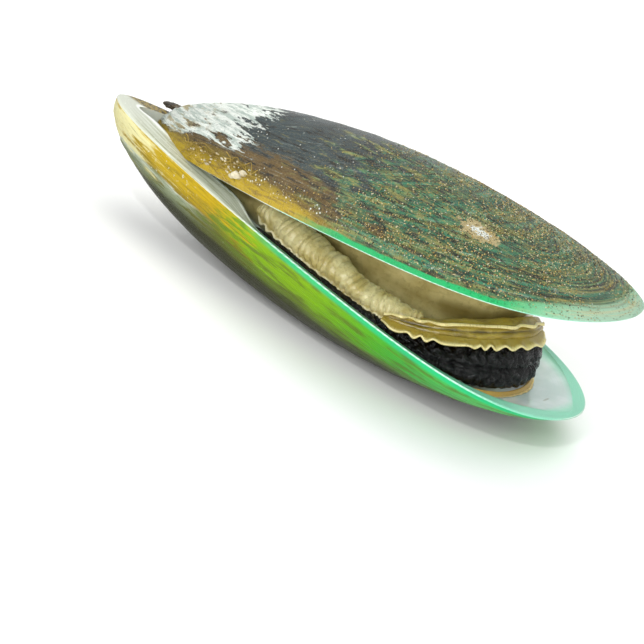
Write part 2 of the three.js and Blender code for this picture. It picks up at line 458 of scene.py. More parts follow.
class Graph:
    """Short calls that make and join the nodes of one tree."""

    def __init__(self, tree: bpy.types.NodeTree) -> None:
        """Args:
            tree: The tree to work in.
        """
        self.tree = tree

    def add(self, kind: str, **settings: object) -> bpy.types.Node:
        """A new node with its settings.

        Args:
            kind: The node's type.
            settings: Properties of the node.

        Returns:
            The node.
        """
        node = self.tree.nodes.new(kind)
        for key, value in settings.items():
            setattr(node, key, value)
        return node

    def feed(self, socket: Socket, value: Value) -> None:
        """Sets an input to a number, a vector or a colour code, or joins it to another node's output.

        Args:
            socket: The input.
            value: What it gets.
        """
        if isinstance(value, Socket):
            self.tree.links.new(value, socket)
        else:
            socket.default_value = paint(value) if isinstance(value, str) else value

    def math(self, operation: str, first: Value, second: Value = 0.0) -> Socket:
        """Result of one Math node.

        Args:
            operation: The node's operation.
            first: First value.
            second: Second value.

        Returns:
            The result.
        """
        node = self.add("ShaderNodeMath", operation=operation)
        for socket, value in zip(node.inputs, (first, second)):
            self.feed(socket, value)
        return node.outputs[0]

    def times(self, first: Value, second: Value) -> Socket:
        """First value multiplied by the second."""
        return self.math("MULTIPLY", first, second)

    def plus(self, first: Value, second: Value) -> Socket:
        """Sum of two values."""
        return self.math("ADD", first, second)

    def minus(self, first: Value, second: Value) -> Socket:
        """First value less the second."""
        return self.math("SUBTRACT", first, second)

    def span(
        self, value: Value, low: Value, high: Value, start: Value = 0.0, end: Value = 1.0
    ) -> Socket:
        """Smooth ramp of a value between two levels.

        Args:
            value: The value.
            low: Level where the ramp starts.
            high: Level where it ends.
            start: Result below the ramp.
            end: Result above it.

        Returns:
            The result.
        """
        node = self.add("ShaderNodeMapRange", interpolation_type="SMOOTHSTEP")
        for socket, item in zip(node.inputs, (value, low, high, start, end)):
            self.feed(socket, item)
        return node.outputs[0]

    def mix(self, share: Value, first: Value, second: Value, strength: float = 1.0) -> Socket:
        """Second colour laid over the first, by a share that is first scaled by the strength.

        Args:
            share: Share of the second colour.
            first: Colour below.
            second: Colour on top.
            strength: Scale of the share.

        Returns:
            The mixed colour.
        """
        node = self.add("ShaderNodeMix", data_type="RGBA")
        scaled = share if strength == 1.0 else self.times(share, strength)
        for key, value in (("Factor_Float", scaled), ("A_Color", first), ("B_Color", second)):
            self.feed(next(s for s in node.inputs if s.identifier == key), value)
        return next(s for s in node.outputs if s.identifier == "Result_Color")

    def vector(self, x: Value = 0.0, y: Value = 0.0, z: Value = 0.0) -> Socket:
        """Vector from three values.

        Args:
            x: First value.
            y: Second value.
            z: Third value.

        Returns:
            The vector.
        """
        node = self.add("ShaderNodeCombineXYZ")
        for socket, value in zip(node.inputs, (x, y, z)):
            self.feed(socket, value)
        return node.outputs[0]

    def split(self, vector: Socket) -> list[Socket]:
        """Three values of a vector.

        Args:
            vector: The vector.

        Returns:
            Its three values.
        """
        node = self.add("ShaderNodeSeparateXYZ")
        self.feed(node.inputs[0], vector)
        return list(node.outputs)

    def read(self, name: str) -> Socket:
        """Vector stored on the mesh under a name."""
        return self.add("ShaderNodeAttribute", attribute_name=name).outputs["Vector"]

    def noise(self, vector: Value, scale: Value, detail: float = 3.0, roughness: float = 0.55) -> Socket:
        """Noise between about 0.2 and 0.8.

        Args:
            vector: Where the noise is read.
            scale: Cells a unit.
            detail: Layers of finer noise.
            roughness: Strength of the finer layers.

        Returns:
            The noise.
        """
        node = self.add("ShaderNodeTexNoise")
        self.feed(node.inputs["Vector"], vector)
        self.feed(node.inputs["Scale"], scale)
        node.inputs["Detail"].default_value = detail
        node.inputs["Roughness"].default_value = roughness
        return node.outputs["Fac"]

    def call(self, group: bpy.types.NodeTree, **values: Value) -> Outputs:
        """Outputs of a group node placed with its own values.

        Args:
            group: The group.
            values: Values of the group's inputs.

        Returns:
            The outputs.
        """
        node = self.add("ShaderNodeGroup", node_tree=group)
        for key, value in values.items():
            self.feed(node.inputs[key.replace("_", " ").capitalize()], value)
        return node.outputs


def new_group(
    name: str, inputs: dict[str, tuple[str, float]], outputs: Sequence[str]
) -> tuple[Graph, dict[str, Socket], bpy.types.Node]:
    """An empty shader group with named sockets.

    Args:
        name: The group's name.
        inputs: Kind of socket and starting value for each input's name.
        outputs: Names of the value outputs.

    Returns:
        The graph to build in, the inputs by name, and the output node.
    """
    tree = bpy.data.node_groups.new(name, "ShaderNodeTree")
    for label, (kind, start) in inputs.items():
        socket = tree.interface.new_socket(label, in_out="INPUT", socket_type=kind)
        if kind == "NodeSocketFloat":
            socket.default_value = start
    for label in outputs:
        tree.interface.new_socket(label, in_out="OUTPUT", socket_type="NodeSocketFloat")
    graph = Graph(tree)
    entry, leave = graph.add("NodeGroupInput"), graph.add("NodeGroupOutput")
    return graph, {s.name: s for s in entry.outputs if s.name}, leave


FLOAT, VECTOR = "NodeSocketFloat", "NodeSocketVector"


def growth_streaks_group() -> bpy.types.NodeTree:
    """Streaks that follow the shell's growth lines."""
    graph, given, leave = new_group(
        "growth streaks",
        {"Growth": (FLOAT, 0.0), "Ray": (FLOAT, 0.0), "Lines": (FLOAT, 40.0), "Breaks": (FLOAT, 4.0),
         "Seed": (FLOAT, 0.0)},
        ["Streak", "Height"],
    )
    place = graph.vector(
        graph.times(given["Ray"], given["Breaks"]),
        graph.times(given["Growth"], given["Lines"]),
        given["Seed"],
    )
    raw = graph.noise(place, 1.0, detail=4.0, roughness=0.6)
    graph.feed(leave.inputs["Streak"], graph.span(raw, 0.36, 0.64))
    graph.feed(leave.inputs["Height"], raw)
    return graph.tree


def ragged_zone_group() -> bpy.types.NodeTree:
    """Mask that is 1 where a value is past an edge, with the edge moved in and out by a pattern."""
    graph, given, leave = new_group(
        "ragged zone",
        {"Measure": (FLOAT, 0.0), "Edge": (FLOAT, 0.5), "Softness": (FLOAT, 0.1), "Pattern": (FLOAT, 0.5),
         "Raggedness": (FLOAT, 0.0)},
        ["Mask"],
    )
    shift = graph.times(graph.minus(given["Pattern"], 0.5), given["Raggedness"])
    moved = graph.plus(graph.minus(given["Measure"], given["Edge"]), shift)
    half = graph.times(given["Softness"], 0.5)
    graph.feed(leave.inputs["Mask"], graph.span(moved, graph.times(half, -1.0), half))
    return graph.tree


def specks_group() -> bpy.types.NodeTree:
    """Small round specks, each with a random tint."""
    graph, given, leave = new_group(
        "specks",
        {"Vector": (VECTOR, 0.0), "Scale": (FLOAT, 1.0), "Share": (FLOAT, 0.3), "Radius": (FLOAT, 0.4)},
        ["Mask", "Tint"],
    )
    cells = graph.add("ShaderNodeTexVoronoi")
    graph.feed(cells.inputs["Vector"], given["Vector"])
    graph.feed(cells.inputs["Scale"], given["Scale"])
    tint = graph.split(cells.outputs["Color"])
    chosen = graph.math("LESS_THAN", tint[0], given["Share"])
    near = graph.span(cells.outputs["Distance"], given["Radius"], graph.times(given["Radius"], 0.5))
    graph.feed(leave.inputs["Mask"], graph.times(chosen, near))
    graph.feed(leave.inputs["Tint"], tint[1])
    return graph.tree


@dataclass(frozen=True)
class ShaderGroups:
    """Effects that several finishes share."""

    streaks: bpy.types.NodeTree
    zone: bpy.types.NodeTree
    specks: bpy.types.NodeTree

    @classmethod
    def build(cls) -> "ShaderGroups":
        """Builds each effect once."""
        return cls(growth_streaks_group(), ragged_zone_group(), specks_group())

    @classmethod
    @lru_cache
    def shared(cls) -> "ShaderGroups":
        """The one set that every finish uses."""
        return cls.build()


@dataclass
class Finish:
    """One material in the making: its graph, its shader and its bump height."""

    name: str
    roughness: float = 0.5
    coat: float = 0.0
    subsurface: float = 0.0
    bump_distance: float = 0.0002
    specular: float = 0.5

    def start(self) -> Graph:
        """Empties a new material and gives it a Principled shader with the constants set on it."""
        self.material = bpy.data.materials.new(self.name)
        self.material.use_nodes = True
        tree = self.material.node_tree
        tree.nodes.clear()
        graph = Graph(tree)
        self.shader = graph.add("ShaderNodeBsdfPrincipled")
        output = graph.add("ShaderNodeOutputMaterial")
        tree.links.new(self.shader.outputs["BSDF"], output.inputs["Surface"])
        self.shader.inputs["Roughness"].default_value = self.roughness
        self.shader.inputs["Specular IOR Level"].default_value = self.specular
        self.shader.inputs["Coat Weight"].default_value = self.coat
        self.shader.inputs["Coat Roughness"].default_value = 0.12
        self.shader.inputs["Subsurface Weight"].default_value = self.subsurface
        self.shader.inputs["Subsurface Radius"].default_value = (0.0016, 0.0011, 0.0006)
        self.shader.inputs["Subsurface Scale"].default_value = 1.0
        return graph

    def end(
        self, graph: Graph, colour: Value, height: Value = None, roughness: Value = None
    ) -> bpy.types.Material:
        """Joins the results to the shader.

        Args:
            graph: The material's graph.
            colour: Base colour.
            height: Bump height in units of the bump distance.
            roughness: Roughness, where it changes over the surface.

        Returns:
            The finished material.
        """
        graph.feed(self.shader.inputs["Base Color"], colour)
        if roughness is not None:
            graph.feed(self.shader.inputs["Roughness"], roughness)
        if height is not None:
            bump = graph.add("ShaderNodeBump")
            bump.inputs["Distance"].default_value = self.bump_distance
            bump.inputs["Strength"].default_value = 1.0
            graph.feed(bump.inputs["Height"], height)
            graph.feed(self.shader.inputs["Normal"], bump.outputs["Normal"])
        return self.material


# ---------------------------------------------------------------- shell finishes
@dataclass(frozen=True)
class ShellCoordinates:
    """What a shell finish reads from its mesh."""

    plan: Socket
    x: Socket
    y: Socket
    growth: Socket
    ray: Socket
    rim: Socket

    @classmethod
    def read(cls, graph: Graph) -> "ShellCoordinates":
        """Places the attribute nodes.

        Args:
            graph: The material's graph.

        Returns:
            The sockets.
        """
        plan = graph.read("plan")
        x, y, _ = graph.split(plan)
        growth, ray, rim = graph.split(graph.read("skin"))
        return cls(plan, x, y, growth, ray, rim)


@dataclass(frozen=True)
class Patterns:
    """Graph, coordinates and noises that the layers of one shell finish share."""

    g: Graph
    groups: ShaderGroups
    at: ShellCoordinates
    along: Socket
    patches: Socket
    crumbs: Socket
    brush: Socket

    @classmethod
    def start(cls, g: Graph, groups: ShaderGroups, stretch: float, squeeze: float) -> "Patterns":
        """Places the shared nodes.

        Args:
            g: The material's graph.
            groups: The shared effects.
            stretch: Features of the brush noise in a millimetre along the valve.
            squeeze: Features of the brush noise in a millimetre away from the rim.

        Returns:
            The patterns.
        """
        at = ShellCoordinates.read(g)
        along = g.math("DIVIDE", at.x, ValveForm.length)
        patches = g.noise(at.plan, 0.16, detail=4.0)
        crumbs = g.noise(at.plan, 0.9, detail=5.0, roughness=0.7)
        lengthwise = g.vector(g.times(at.x, stretch), g.times(at.rim, squeeze), at.ray)
        brush = g.noise(lengthwise, 1.0, detail=6.0, roughness=0.66)
        return cls(g, groups, at, along, patches, crumbs, brush)

    def zone(
        self, measure: Value, edge: Value, softness: Value, raggedness: Value, pattern: Socket | None = None
    ) -> Socket:
        """Mask past an edge.

        Args:
            measure: Value that grows across the edge.
            edge: Where the edge lies.
            softness: Width of the change.
            raggedness: How far the pattern moves the edge.
            pattern: What moves it, the brush noise where nothing is given.

        Returns:
            The mask, 1 past the edge.
        """
        moved_by = self.brush if pattern is None else pattern
        return self.g.call(self.groups.zone, Measure=measure, Edge=edge, Softness=softness,
                           Pattern=moved_by, Raggedness=raggedness)["Mask"]

    def near_rim(self, width: Value, softness: Value, raggedness: Value) -> Socket:
        """Mask within a width of the rim."""
        edge = -width if isinstance(width, float) else self.g.times(width, -1.0)
        return self.zone(self.g.times(self.at.rim, -1.0), edge, softness, raggedness)

    def streaks(self, lines: float, breaks: float, seed: float) -> Outputs:
        """Streak mask and height along the growth lines."""
        return self.g.call(self.groups.streaks, Growth=self.at.growth, Ray=self.at.ray, Lines=lines,
                           Breaks=breaks, Seed=seed)

    def specks(self, scale: float, share: float, radius: float) -> Outputs:
        """Mask and tint of specks over the plan."""
        return self.g.call(self.groups.specks, Vector=self.at.plan, Scale=scale, Share=share, Radius=radius)


@dataclass(frozen=True)
class UpperOutside:
    """Weathered outside of the upper valve: chalky umbo, brown and teal streaks, green rim."""

    slate: str = "#34464A"
    umber: str = "#2A2410"
    brown: str = "#6A5220"
    olive: str = "#56622A"
    teal: str = "#104E3A"
    teal_light: str = "#2A9A72"
    gold: str = "#9C924A"
    mustard: str = "#B29600"
    amber: str = "#74620E"
    chalk: str = "#E6ECE4"
    chalk_shade: str = "#AFBDB4"
    chalk_stain: str = "#A8965A"
    sand: str = "#D8C286"
    dark: str = "#0D100E"
    rim_green: str = "#0FB565"
    rim_tip: str = "#A9D2B4"
    # painted highlight: near-white colour laid along the very edge of the rim
    edge: str = "#E6FFF0"
    scar: str = "#B9A978"
    scar_place: tuple[float, float] = (83.5, -11.2)
    scar_reach: tuple[float, float] = (4.6, 2.4)

    def build(self, groups: ShaderGroups) -> bpy.types.Material:
        """Builds the material.

        Args:
            groups: The shared effects.

        Returns:
            The material.
        """
        finish = Finish("upper shell outside", roughness=0.5, specular=0.5, bump_distance=0.0004)
        g = finish.start()
        p = Patterns.start(g, groups, stretch=0.14, squeeze=0.62)
        strokes = g.noise(g.vector(g.times(p.at.x, 0.2), g.times(p.at.rim, 1.2), 7.0), 1.0, 5.0, 0.7)
        fine, broad, wisps = p.streaks(95.0, 7.0, 2.0), p.streaks(26.0, 3.0, 7.0), p.streaks(55.0, 10.0, 13.0)
        glints = p.specks(1.3, 0.16, 0.24)["Mask"]
        chalk = self._chalk_mask(p)
        grit = g.noise(g.vector(p.at.x, g.times(p.at.y, 1.6), 0.0), 2.2, detail=6.0, roughness=0.8)
        grit_zone = g.span(p.along, 0.34, 0.6, 0.35, 1.0)
        sand = p.specks(2.1, 0.5, 0.42)
        sand_mask = g.times(sand["Mask"], g.times(g.span(p.along, 0.42, 0.62), g.span(p.patches, 0.3, 0.6)))

        to_hind = p.zone(p.along, 0.52, 0.12, 0.9)
        colour = g.mix(to_hind, self._middle(p, strokes, fine), self._hind(p, strokes, broad, wisps))
        colour = g.mix(g.span(fine["Height"], 0.44, 0.36), colour, self.dark, 0.8)
        # pale grey streaks: partly fine scratches, partly painted sheen
        scratches_and_sheen = g.times(g.span(wisps["Height"], 0.56, 0.66), g.span(p.crumbs, 0.45, 0.6))
        colour = g.mix(scratches_and_sheen, colour, self.chalk_shade, 0.35)
        colour = g.mix(glints, colour, self.chalk, 0.85)
        colour = self._warm_band(p, strokes, colour)
        colour = g.mix(chalk, colour, self._chalk_colour(p, strokes))
        colour = self._scuffs(p, colour)
        colour = g.mix(g.times(g.span(grit, 0.54, 0.66), g.times(grit_zone, 0.7)), colour, self.sand)
        colour = g.mix(g.span(grit, 0.44, 0.34), colour, self.dark, 0.8)
        colour = g.mix(sand_mask, colour, g.mix(sand["Tint"], self.sand, self.dark))
        colour = self._scar(p, colour)
        colour = self._rim(p, strokes, sand_mask, colour)

        height = g.plus(fine["Height"], g.times(broad["Height"], 0.6))
        height = g.plus(height, g.times(grit, g.times(grit_zone, 1.2)))
        height = g.plus(height, g.times(chalk, g.plus(g.times(p.crumbs, 0.35), 0.6)))
        height = g.plus(height, g.times(g.plus(strokes, glints), 0.7))
        height = g.plus(height, g.times(sand_mask, 0.7))
        rough = g.plus(0.33, g.times(g.math("MAXIMUM", chalk, sand_mask), 0.4))
        return finish.end(g, colour, height, rough)

    def _middle(self, p: Patterns, strokes: Socket, fine: Outputs) -> Socket:
        """Slate and brown middle with black and golden strokes.

        Args:
            p: Patterns of the shell.
            strokes: Long strokes.
            fine: Fine strokes.

        Returns:
            The colour.
        """
        g = p.g
        colour = g.mix(p.near_rim(8.5, 2.5, 14.0), self.slate, self.brown)
        colour = g.mix(g.span(strokes, 0.52, 0.62), colour, self.dark)
        colour = g.mix(g.span(strokes, 0.42, 0.34), colour, self.gold, 0.5)
        return g.mix(fine["Streak"], colour, self.umber, 0.4)

    def _hind(self, p: Patterns, strokes: Socket, broad: Outputs, wisps: Outputs) -> Socket:
        """Teal and olive hind half with gold, brown and black strokes.

        Args:
            p: Patterns of the shell.
            strokes: Long strokes.
            broad: Broad patches.
            wisps: Thin wisps.

        Returns:
            The colour.
        """
        g = p.g
        colour = g.mix(broad["Streak"], self.olive, self.teal)
        layers = (
            (wisps["Streak"], self.teal_light, 0.6),
            (g.span(p.brush, 0.5, 0.66), self.gold, 0.7),
            (g.span(p.brush, 0.44, 0.36), self.umber, 0.8),
            (g.span(strokes, 0.5, 0.58), self.dark, 0.85),
            (g.span(strokes, 0.44, 0.38), self.gold, 0.6),
        )
        for mask, tone, strength in layers:
            colour = g.mix(mask, colour, tone, strength)
        return colour

    def _warm_band(self, p: Patterns, strokes: Socket, colour: Socket) -> Socket:
        """Mustard band along the front of the rim.

        Args:
            p: Patterns of the shell.
            strokes: Long strokes.
            colour: Colour below.

        Returns:
            The colour.
        """
        g = p.g
        width = g.span(p.along, 0.3, 0.55, 4.2, 2.4)
        mask = g.times(p.near_rim(width, 1.6, 7.0), g.minus(1.0, g.span(p.along, 0.42, 0.6)))
        warm = g.mix(g.span(p.at.rim, 1.4, 4.6), self.mustard, self.amber)
        warm = g.mix(g.span(strokes, 0.5, 0.6), warm, self.brown, 0.6)
        return g.mix(mask, colour, warm)

    def _chalk_mask(self, p: Patterns) -> Socket:
        """Where the outer skin has worn away to chalk.

        Args:
            p: Patterns of the shell.

        Returns:
            The mask.
        """
        g = p.g
        front = p.zone(g.times(p.along, -1.0), -0.27, 0.01, 0.42)
        low = p.zone(p.at.rim, g.span(p.along, 0.0, 0.3, 3.4, 6.6), 0.3, 6.0)
        gaps = g.minus(1.0, g.times(g.span(p.brush, 0.57, 0.6), g.span(p.along, 0.06, 0.14)))
        return g.times(g.times(front, low), gaps)

    def _chalk_colour(self, p: Patterns, strokes: Socket) -> Socket:
        """Stroked chalk, stained towards the umbo.

        Args:
            p: Patterns of the shell.
            strokes: Long strokes.

        Returns:
            The colour.
        """
        g = p.g
        colour = g.mix(g.span(strokes, 0.44, 0.6), self.chalk, self.chalk_shade)
        stained = g.times(g.span(p.brush, 0.52, 0.58), g.span(p.along, 0.22, 0.1))
        return g.mix(stained, colour, self.chalk_stain, 0.7)

    def _scuffs(self, p: Patterns, colour: Socket) -> Socket:
        """Pale scuffs in a row above the front of the rim.

        Args:
            p: Patterns of the shell.
            colour: Colour below.

        Returns:
            The colour.
        """
        g = p.g
        across = g.times(g.span(p.at.rim, 1.8, 3.0), g.span(p.at.rim, 5.5, 3.6))
        band = g.times(across, g.times(g.span(p.along, 0.2, 0.3), g.span(p.along, 0.6, 0.5)))
        return g.mix(g.times(p.specks(1.5, 0.42, 0.34)["Mask"], band), colour, self.chalk)

    def _scar(self, p: Patterns, colour: Socket) -> Socket:
        """Beige scar of a lost barnacle, with a white heart.

        Args:
            p: Patterns of the shell.
            colour: Colour below.

        Returns:
            The colour.
        """
        g = p.g
        squares = [
            g.math("POWER", g.math("DIVIDE", g.minus(value, middle), reach), 2.0)
            for value, middle, reach in zip((p.at.x, p.at.y), self.scar_place, self.scar_reach)
        ]
        inward = g.times(g.math("SQRT", g.plus(*squares)), -1.0)
        heart = p.zone(inward, -0.4, 0.1, 1.8, p.crumbs)
        scarred = g.mix(heart, self.scar, self.chalk)
        return g.mix(p.zone(inward, -0.9, 0.25, 2.2, p.crumbs), colour, scarred)

    def _rim(self, p: Patterns, strokes: Socket, sand_mask: Socket, colour: Socket) -> Socket:
        """Green band along the hind rim, wide and pale at the tip, and a painted highlight along the edge
        line.

        Args:
            p: Patterns of the shell.
            strokes: Long strokes.
            sand_mask: Where sand lies.
            colour: Colour below.

        Returns:
            The colour.
        """
        g = p.g
        tip = g.span(p.along, 0.86, 0.99)
        width, softness, raggedness = (
            g.plus(narrow, g.times(tip, extra)) for narrow, extra in ((1.25, 2.6), (0.4, 2.4), (1.2, 6.0))
        )
        mask = g.times(p.near_rim(width, softness, raggedness), g.span(p.along, 0.42, 0.56))
        mask = g.times(mask, g.minus(1.0, g.times(sand_mask, tip)))
        band = g.mix(tip, self.rim_green, self.rim_tip)
        band = g.mix(g.times(g.span(strokes, 0.5, 0.62), g.times(tip, 0.45)), band, self.sand)
        # near-white edge line: painted highlight along the rounded edge
        return g.mix(g.span(p.at.rim, 0.3, 0.12), g.mix(mask, colour, band), self.edge)


@dataclass(frozen=True)
class LowerOutside:
    """Outside of the lower valve: cream umbo, mustard, vivid green flank, a dark belly that is partly painted
    shade, and a painted highlight along the edge.
    """

    cream: str = "#D8D29A"
    ochre: str = "#B29C4A"
    pale: str = "#CDD6C4"
    mustard: str = "#B39600"
    amber: str = "#70600A"
    green_yellow: str = "#76A000"
    green: str = "#2A9E1C"
    green_pale: str = "#56BE66"
    rim_teal: str = "#16B878"
    olive: str = "#55621A"
    brown: str = "#625410"
    # dark underside colour: partly the shell's own dark tone, partly painted shade where the valve faces the
    # floor
    belly_and_shade: str = "#2A2C08"
    # painted highlight colours for the rim's edge line, warm in front and cool behind
    edge_highlight_warm: str = "#FFF6C8"
    edge_highlight_cool: str = "#A8F2D4"

    def build(self, groups: ShaderGroups) -> bpy.types.Material:
        """Builds the material.

        Args:
            groups: The shared effects.

        Returns:
            The material.
        """
        finish = Finish("lower shell outside", roughness=0.34, specular=0.22, bump_distance=0.0003)
        g = finish.start()
        p = Patterns.start(g, groups, stretch=0.1, squeeze=0.8)
        fine, broad = p.streaks(110.0, 6.0, 21.0), p.streaks(34.0, 3.5, 25.0)
        to_green = p.zone(p.along, 0.37, 0.08, 0.55)
        colour = g.mix(to_green, self._front(p), self._flank(p, fine))

        # away from the rim the flank darkens to the belly colour: partly the shell's own tone, partly painted
        # shade of the underside
        shaded_belly_start = g.span(p.along, 0.15, 0.45, 8.0, 8.6)
        olive = p.zone(p.at.rim, g.minus(shaded_belly_start, 2.4), 2.0, 8.0)
        colour = g.mix(olive, colour, self.olive, 0.75)
        colour = g.mix(p.zone(p.at.rim, shaded_belly_start, 3.0, 6.0), colour, self.belly_and_shade)
        colour = g.mix(g.span(fine["Height"], 0.4, 0.31), colour, self.belly_and_shade, 0.5)
        worn = g.times(g.span(p.crumbs, 0.6, 0.72), g.span(p.at.rim, 3.0, 8.0))
        colour = g.mix(worn, colour, self.pale, 0.12)
        teal_line = g.times(g.span(p.at.rim, 1.5, 0.7), g.span(p.along, 0.36, 0.5))
        colour = g.mix(teal_line, colour, self.rim_teal, 0.8)
        # painted highlight: near-white line along the rounded rim edge
        edge = g.mix(g.span(p.along, 0.4, 0.6), self.edge_highlight_warm, self.edge_highlight_cool)
        colour = g.mix(g.span(p.at.rim, 0.34, 0.14), colour, edge)

        height = g.plus(fine["Height"], g.times(broad["Height"], 0.7))
        return finish.end(g, colour, height, g.plus(0.26, g.times(p.patches, 0.2)))

    def _flank(self, p: Patterns, fine: Outputs) -> Socket:
        """Yellow-green to pale green flank with olive strokes.

        Args:
            p: Patterns of the shell.
            fine: Fine strokes.

        Returns:
            The colour.
        """
        g = p.g
        colour = g.mix(g.span(p.along, 0.5, 0.8), self.green_yellow, self.green)
        colour = g.mix(g.span(p.along, 0.66, 0.9), colour, self.green_pale, 0.7)
        colour = g.mix(g.span(p.brush, 0.5, 0.62), colour, self.olive, 0.7)
        return g.mix(g.span(fine["Height"], 0.55, 0.68), colour, self.green_yellow, 0.55)

    def _front(self, p: Patterns) -> Socket:
        """Cream umbo and mustard front with a pale strip low on the side.

        Args:
            p: Patterns of the shell.

        Returns:
            The colour.
        """
        g = p.g
        warm = g.mix(g.span(p.at.rim, 2.6, 6.8), self.mustard, self.brown)
        warm = g.mix(g.span(p.brush, 0.5, 0.64), warm, self.amber, 0.55)
        warm = g.mix(g.times(g.span(p.crumbs, 0.6, 0.68), g.span(p.along, 0.32, 0.16)), warm, self.pale)
        umbo = g.mix(g.span(p.brush, 0.5, 0.62), self.cream, self.ochre)
        front = g.mix(p.zone(p.along, 0.12, 0.08, 0.5), umbo, warm)
        strip = g.times(g.span(p.at.rim, 4.6, 5.4), g.span(p.along, 0.34, 0.22))
        return g.mix(g.times(strip, g.span(p.brush, 0.42, 0.5)), front, self.pale)


@dataclass(frozen=True)
class ShellLip:
    """Flat lip between the two skins, with fine stripes along the rim."""

    name: str
    pale: str = "#C8CDBD"
    stripe: str = "#9A9F80"
    # near-white: painted highlight along the lip's outer edge, also the lip's white inner edge line and
    # crumbs
    edge: str = "#F2F8EE"
    hinge: str = "#8E7A2A"
    hinge_dark: str = "#2A240F"
    bevel: str = "#0C7A58"
    bevel_pale: str = "#86D8B8"

    def build(self, groups: ShaderGroups) -> bpy.types.Material:
        """Builds the material; the shared effects have no part in it.

        Args:
            groups: Shared effects, which have no part in it.

        Returns:
            The material.
        """
        finish = Finish(self.name, roughness=0.28, coat=0.35, bump_distance=0.0002)
        g = finish.start()
        at = ShellCoordinates.read(g)
        along = g.math("DIVIDE", at.x, ValveForm.length)
        across = g.add("ShaderNodeAttribute", attribute_name="lip").outputs["Fac"]
        stripes = g.noise(g.vector(g.times(at.x, 0.05), g.times(across, 9.0), 4.0), 1.0, 4.0, 0.65)
        crumbs = g.noise(at.plan, 1.2, detail=5.0, roughness=0.7)
        striped = g.times(g.span(stripes, 0.42, 0.6), g.span(at.x, 3.0, 14.0))
        front = g.mix(striped, self.pale, self.stripe)
        front = g.mix(g.span(crumbs, 0.58, 0.7), front, self.edge, 0.5)
        front = g.mix(g.span(across, 0.78, 0.9), front, self.edge)
        hinge = g.mix(g.span(crumbs, 0.48, 0.56), self.hinge, self.hinge_dark)
        front = g.mix(g.times(g.span(at.y, 0.5, 2.0), g.span(at.x, 22.0, 12.0)), front, hinge)
        hind = g.mix(g.span(at.rim, 0.2, 0.55), self.bevel_pale, self.bevel)
        hind = g.mix(g.span(along, 0.75, 0.95), hind, self.bevel_pale)
        colour = g.mix(g.span(along, 0.36, 0.43), front, hind)
        # painted highlight: near-white along the rounded outer edge
        colour = g.mix(g.span(at.rim, 0.26, 0.1), colour, self.edge)
        return finish.end(g, colour, stripes)


@dataclass(frozen=True)
class Nacre:
    """Smooth pale inside of a valve, mint towards the rim."""

    name: str
    pale: str = "#DCE9E8"
    shade: str = "#C2D6D2"
    mint: str = "#84D2B2"
    scratch: str = "#7C8468"
    umbo: str = "#9A967C"

    def build(self, groups: ShaderGroups) -> bpy.types.Material:
        """Builds the material.

        Args:
            groups: The shared effects.

        Returns:
            The material.
        """
        finish = Finish(self.name, roughness=0.22, coat=0.5, subsurface=0.1, bump_distance=0.0001)
        g = finish.start()
        at = ShellCoordinates.read(g)
        clouds = g.noise(at.plan, 0.12, detail=3.0)
        lines = g.call(groups.streaks, Growth=at.growth, Ray=at.ray, Lines=50.0, Breaks=3.0, Seed=31.0)
        colour = g.mix(g.span(clouds, 0.35, 0.65), self.pale, self.shade)
        band = g.call(groups.zone, Measure=g.times(at.rim, -1.0), Edge=-3.0, Softness=2.2,
                      Pattern=clouds, Raggedness=1.5)["Mask"]
        colour = g.mix(g.times(band, g.times(g.span(at.x, 34.0, 48.0), 0.85)), colour, self.mint)
        colour = g.mix(g.span(at.x, 24.0, 8.0), colour, self.umbo, 0.6)
        place = g.vector(g.times(at.ray, 30.0), g.times(at.growth, 90.0), 3.0)
        marks = g.call(groups.specks, Vector=place, Scale=1.0, Share=0.05, Radius=0.3)["Mask"]
        colour = g.mix(marks, colour, self.scratch, 0.55)
        return finish.end(g, colour, lines["Height"])


# ---------------------------------------------------------------- meat finishes
@dataclass(frozen=True)
class MeatFinish:
    """Moist flesh whose colour changes over clouds and grain and with the height of its folds: painted shade
    darkens the creases.
    """

    name: str
    light: str
    deep: str
    # darkest tone: painted shade in the creases, also dark grain flecks
    crease_shade_and_grain: str
    roughness: float = 0.35
    coat: float = 0.35
    subsurface: float = 0.12
    bump: float = 0.0003
    grain: float = 900.0
    specular: float = 0.5

    def build(self, groups: ShaderGroups) -> bpy.types.Material:
        """Builds the material.

        Args:
            groups: The shared effects, which have no part in it.

        Returns:
            The material.
        """
        finish = Finish(self.name, self.roughness, self.coat, self.subsurface, self.bump, self.specular)
        g = finish.start()
        place = g.add("ShaderNodeTexCoord").outputs["Object"]
        clouds = g.noise(place, self.grain * 0.18, detail=4.0)
        grain = g.noise(place, self.grain, detail=4.0, roughness=0.6)
        _, _, fold = g.split(g.read("strip"))
        colour = g.mix(g.span(clouds, 0.34, 0.66), self.light, self.deep)
        # painted shade: darker where the folds sink into creases
        colour = g.mix(g.span(fold, 0.1, -0.5), colour, self.crease_shade_and_grain)
        colour = g.mix(g.span(grain, 0.5, 0.68), colour, self.crease_shade_and_grain, 0.3)
        return finish.end(g, colour, grain)


@dataclass(frozen=True)
class FrillFinish:
    """Thin frill, darker at its root and pale along its free border."""

    name: str
    root: str
    border: str
    roughness: float = 0.3

    def build(self, groups: ShaderGroups) -> bpy.types.Material:
        """Builds the material.

        Args:
            groups: The shared effects.

        Returns:
            The material.
        """
        finish = Finish(self.name, self.roughness, coat=0.3, subsurface=0.2, bump_distance=0.0001)
        g = finish.start()
        run, out, _ = g.split(g.read("strip"))
        veins = g.noise(g.vector(g.times(run, 2.6), g.times(out, 1.2), 0.0), 1.0, 4.0)
        edge = g.call(groups.zone, Measure=out, Edge=0.72, Softness=0.4, Pattern=veins, Raggedness=0.5)
        colour = g.mix(edge["Mask"], self.root, self.border)
        colour = g.mix(g.span(veins, 0.5, 0.66), colour, self.root, 0.35)
        return finish.end(g, colour, veins)


# ---------------------------------------------------------------- the valves
class Side(Enum):
    """Which valve."""

    LOWER = "lower"
    UPPER = "upper"


class Face(Enum):
    """Material places of a valve."""

    OUTSIDE = 0
    LIP = 1
    INSIDE = 2


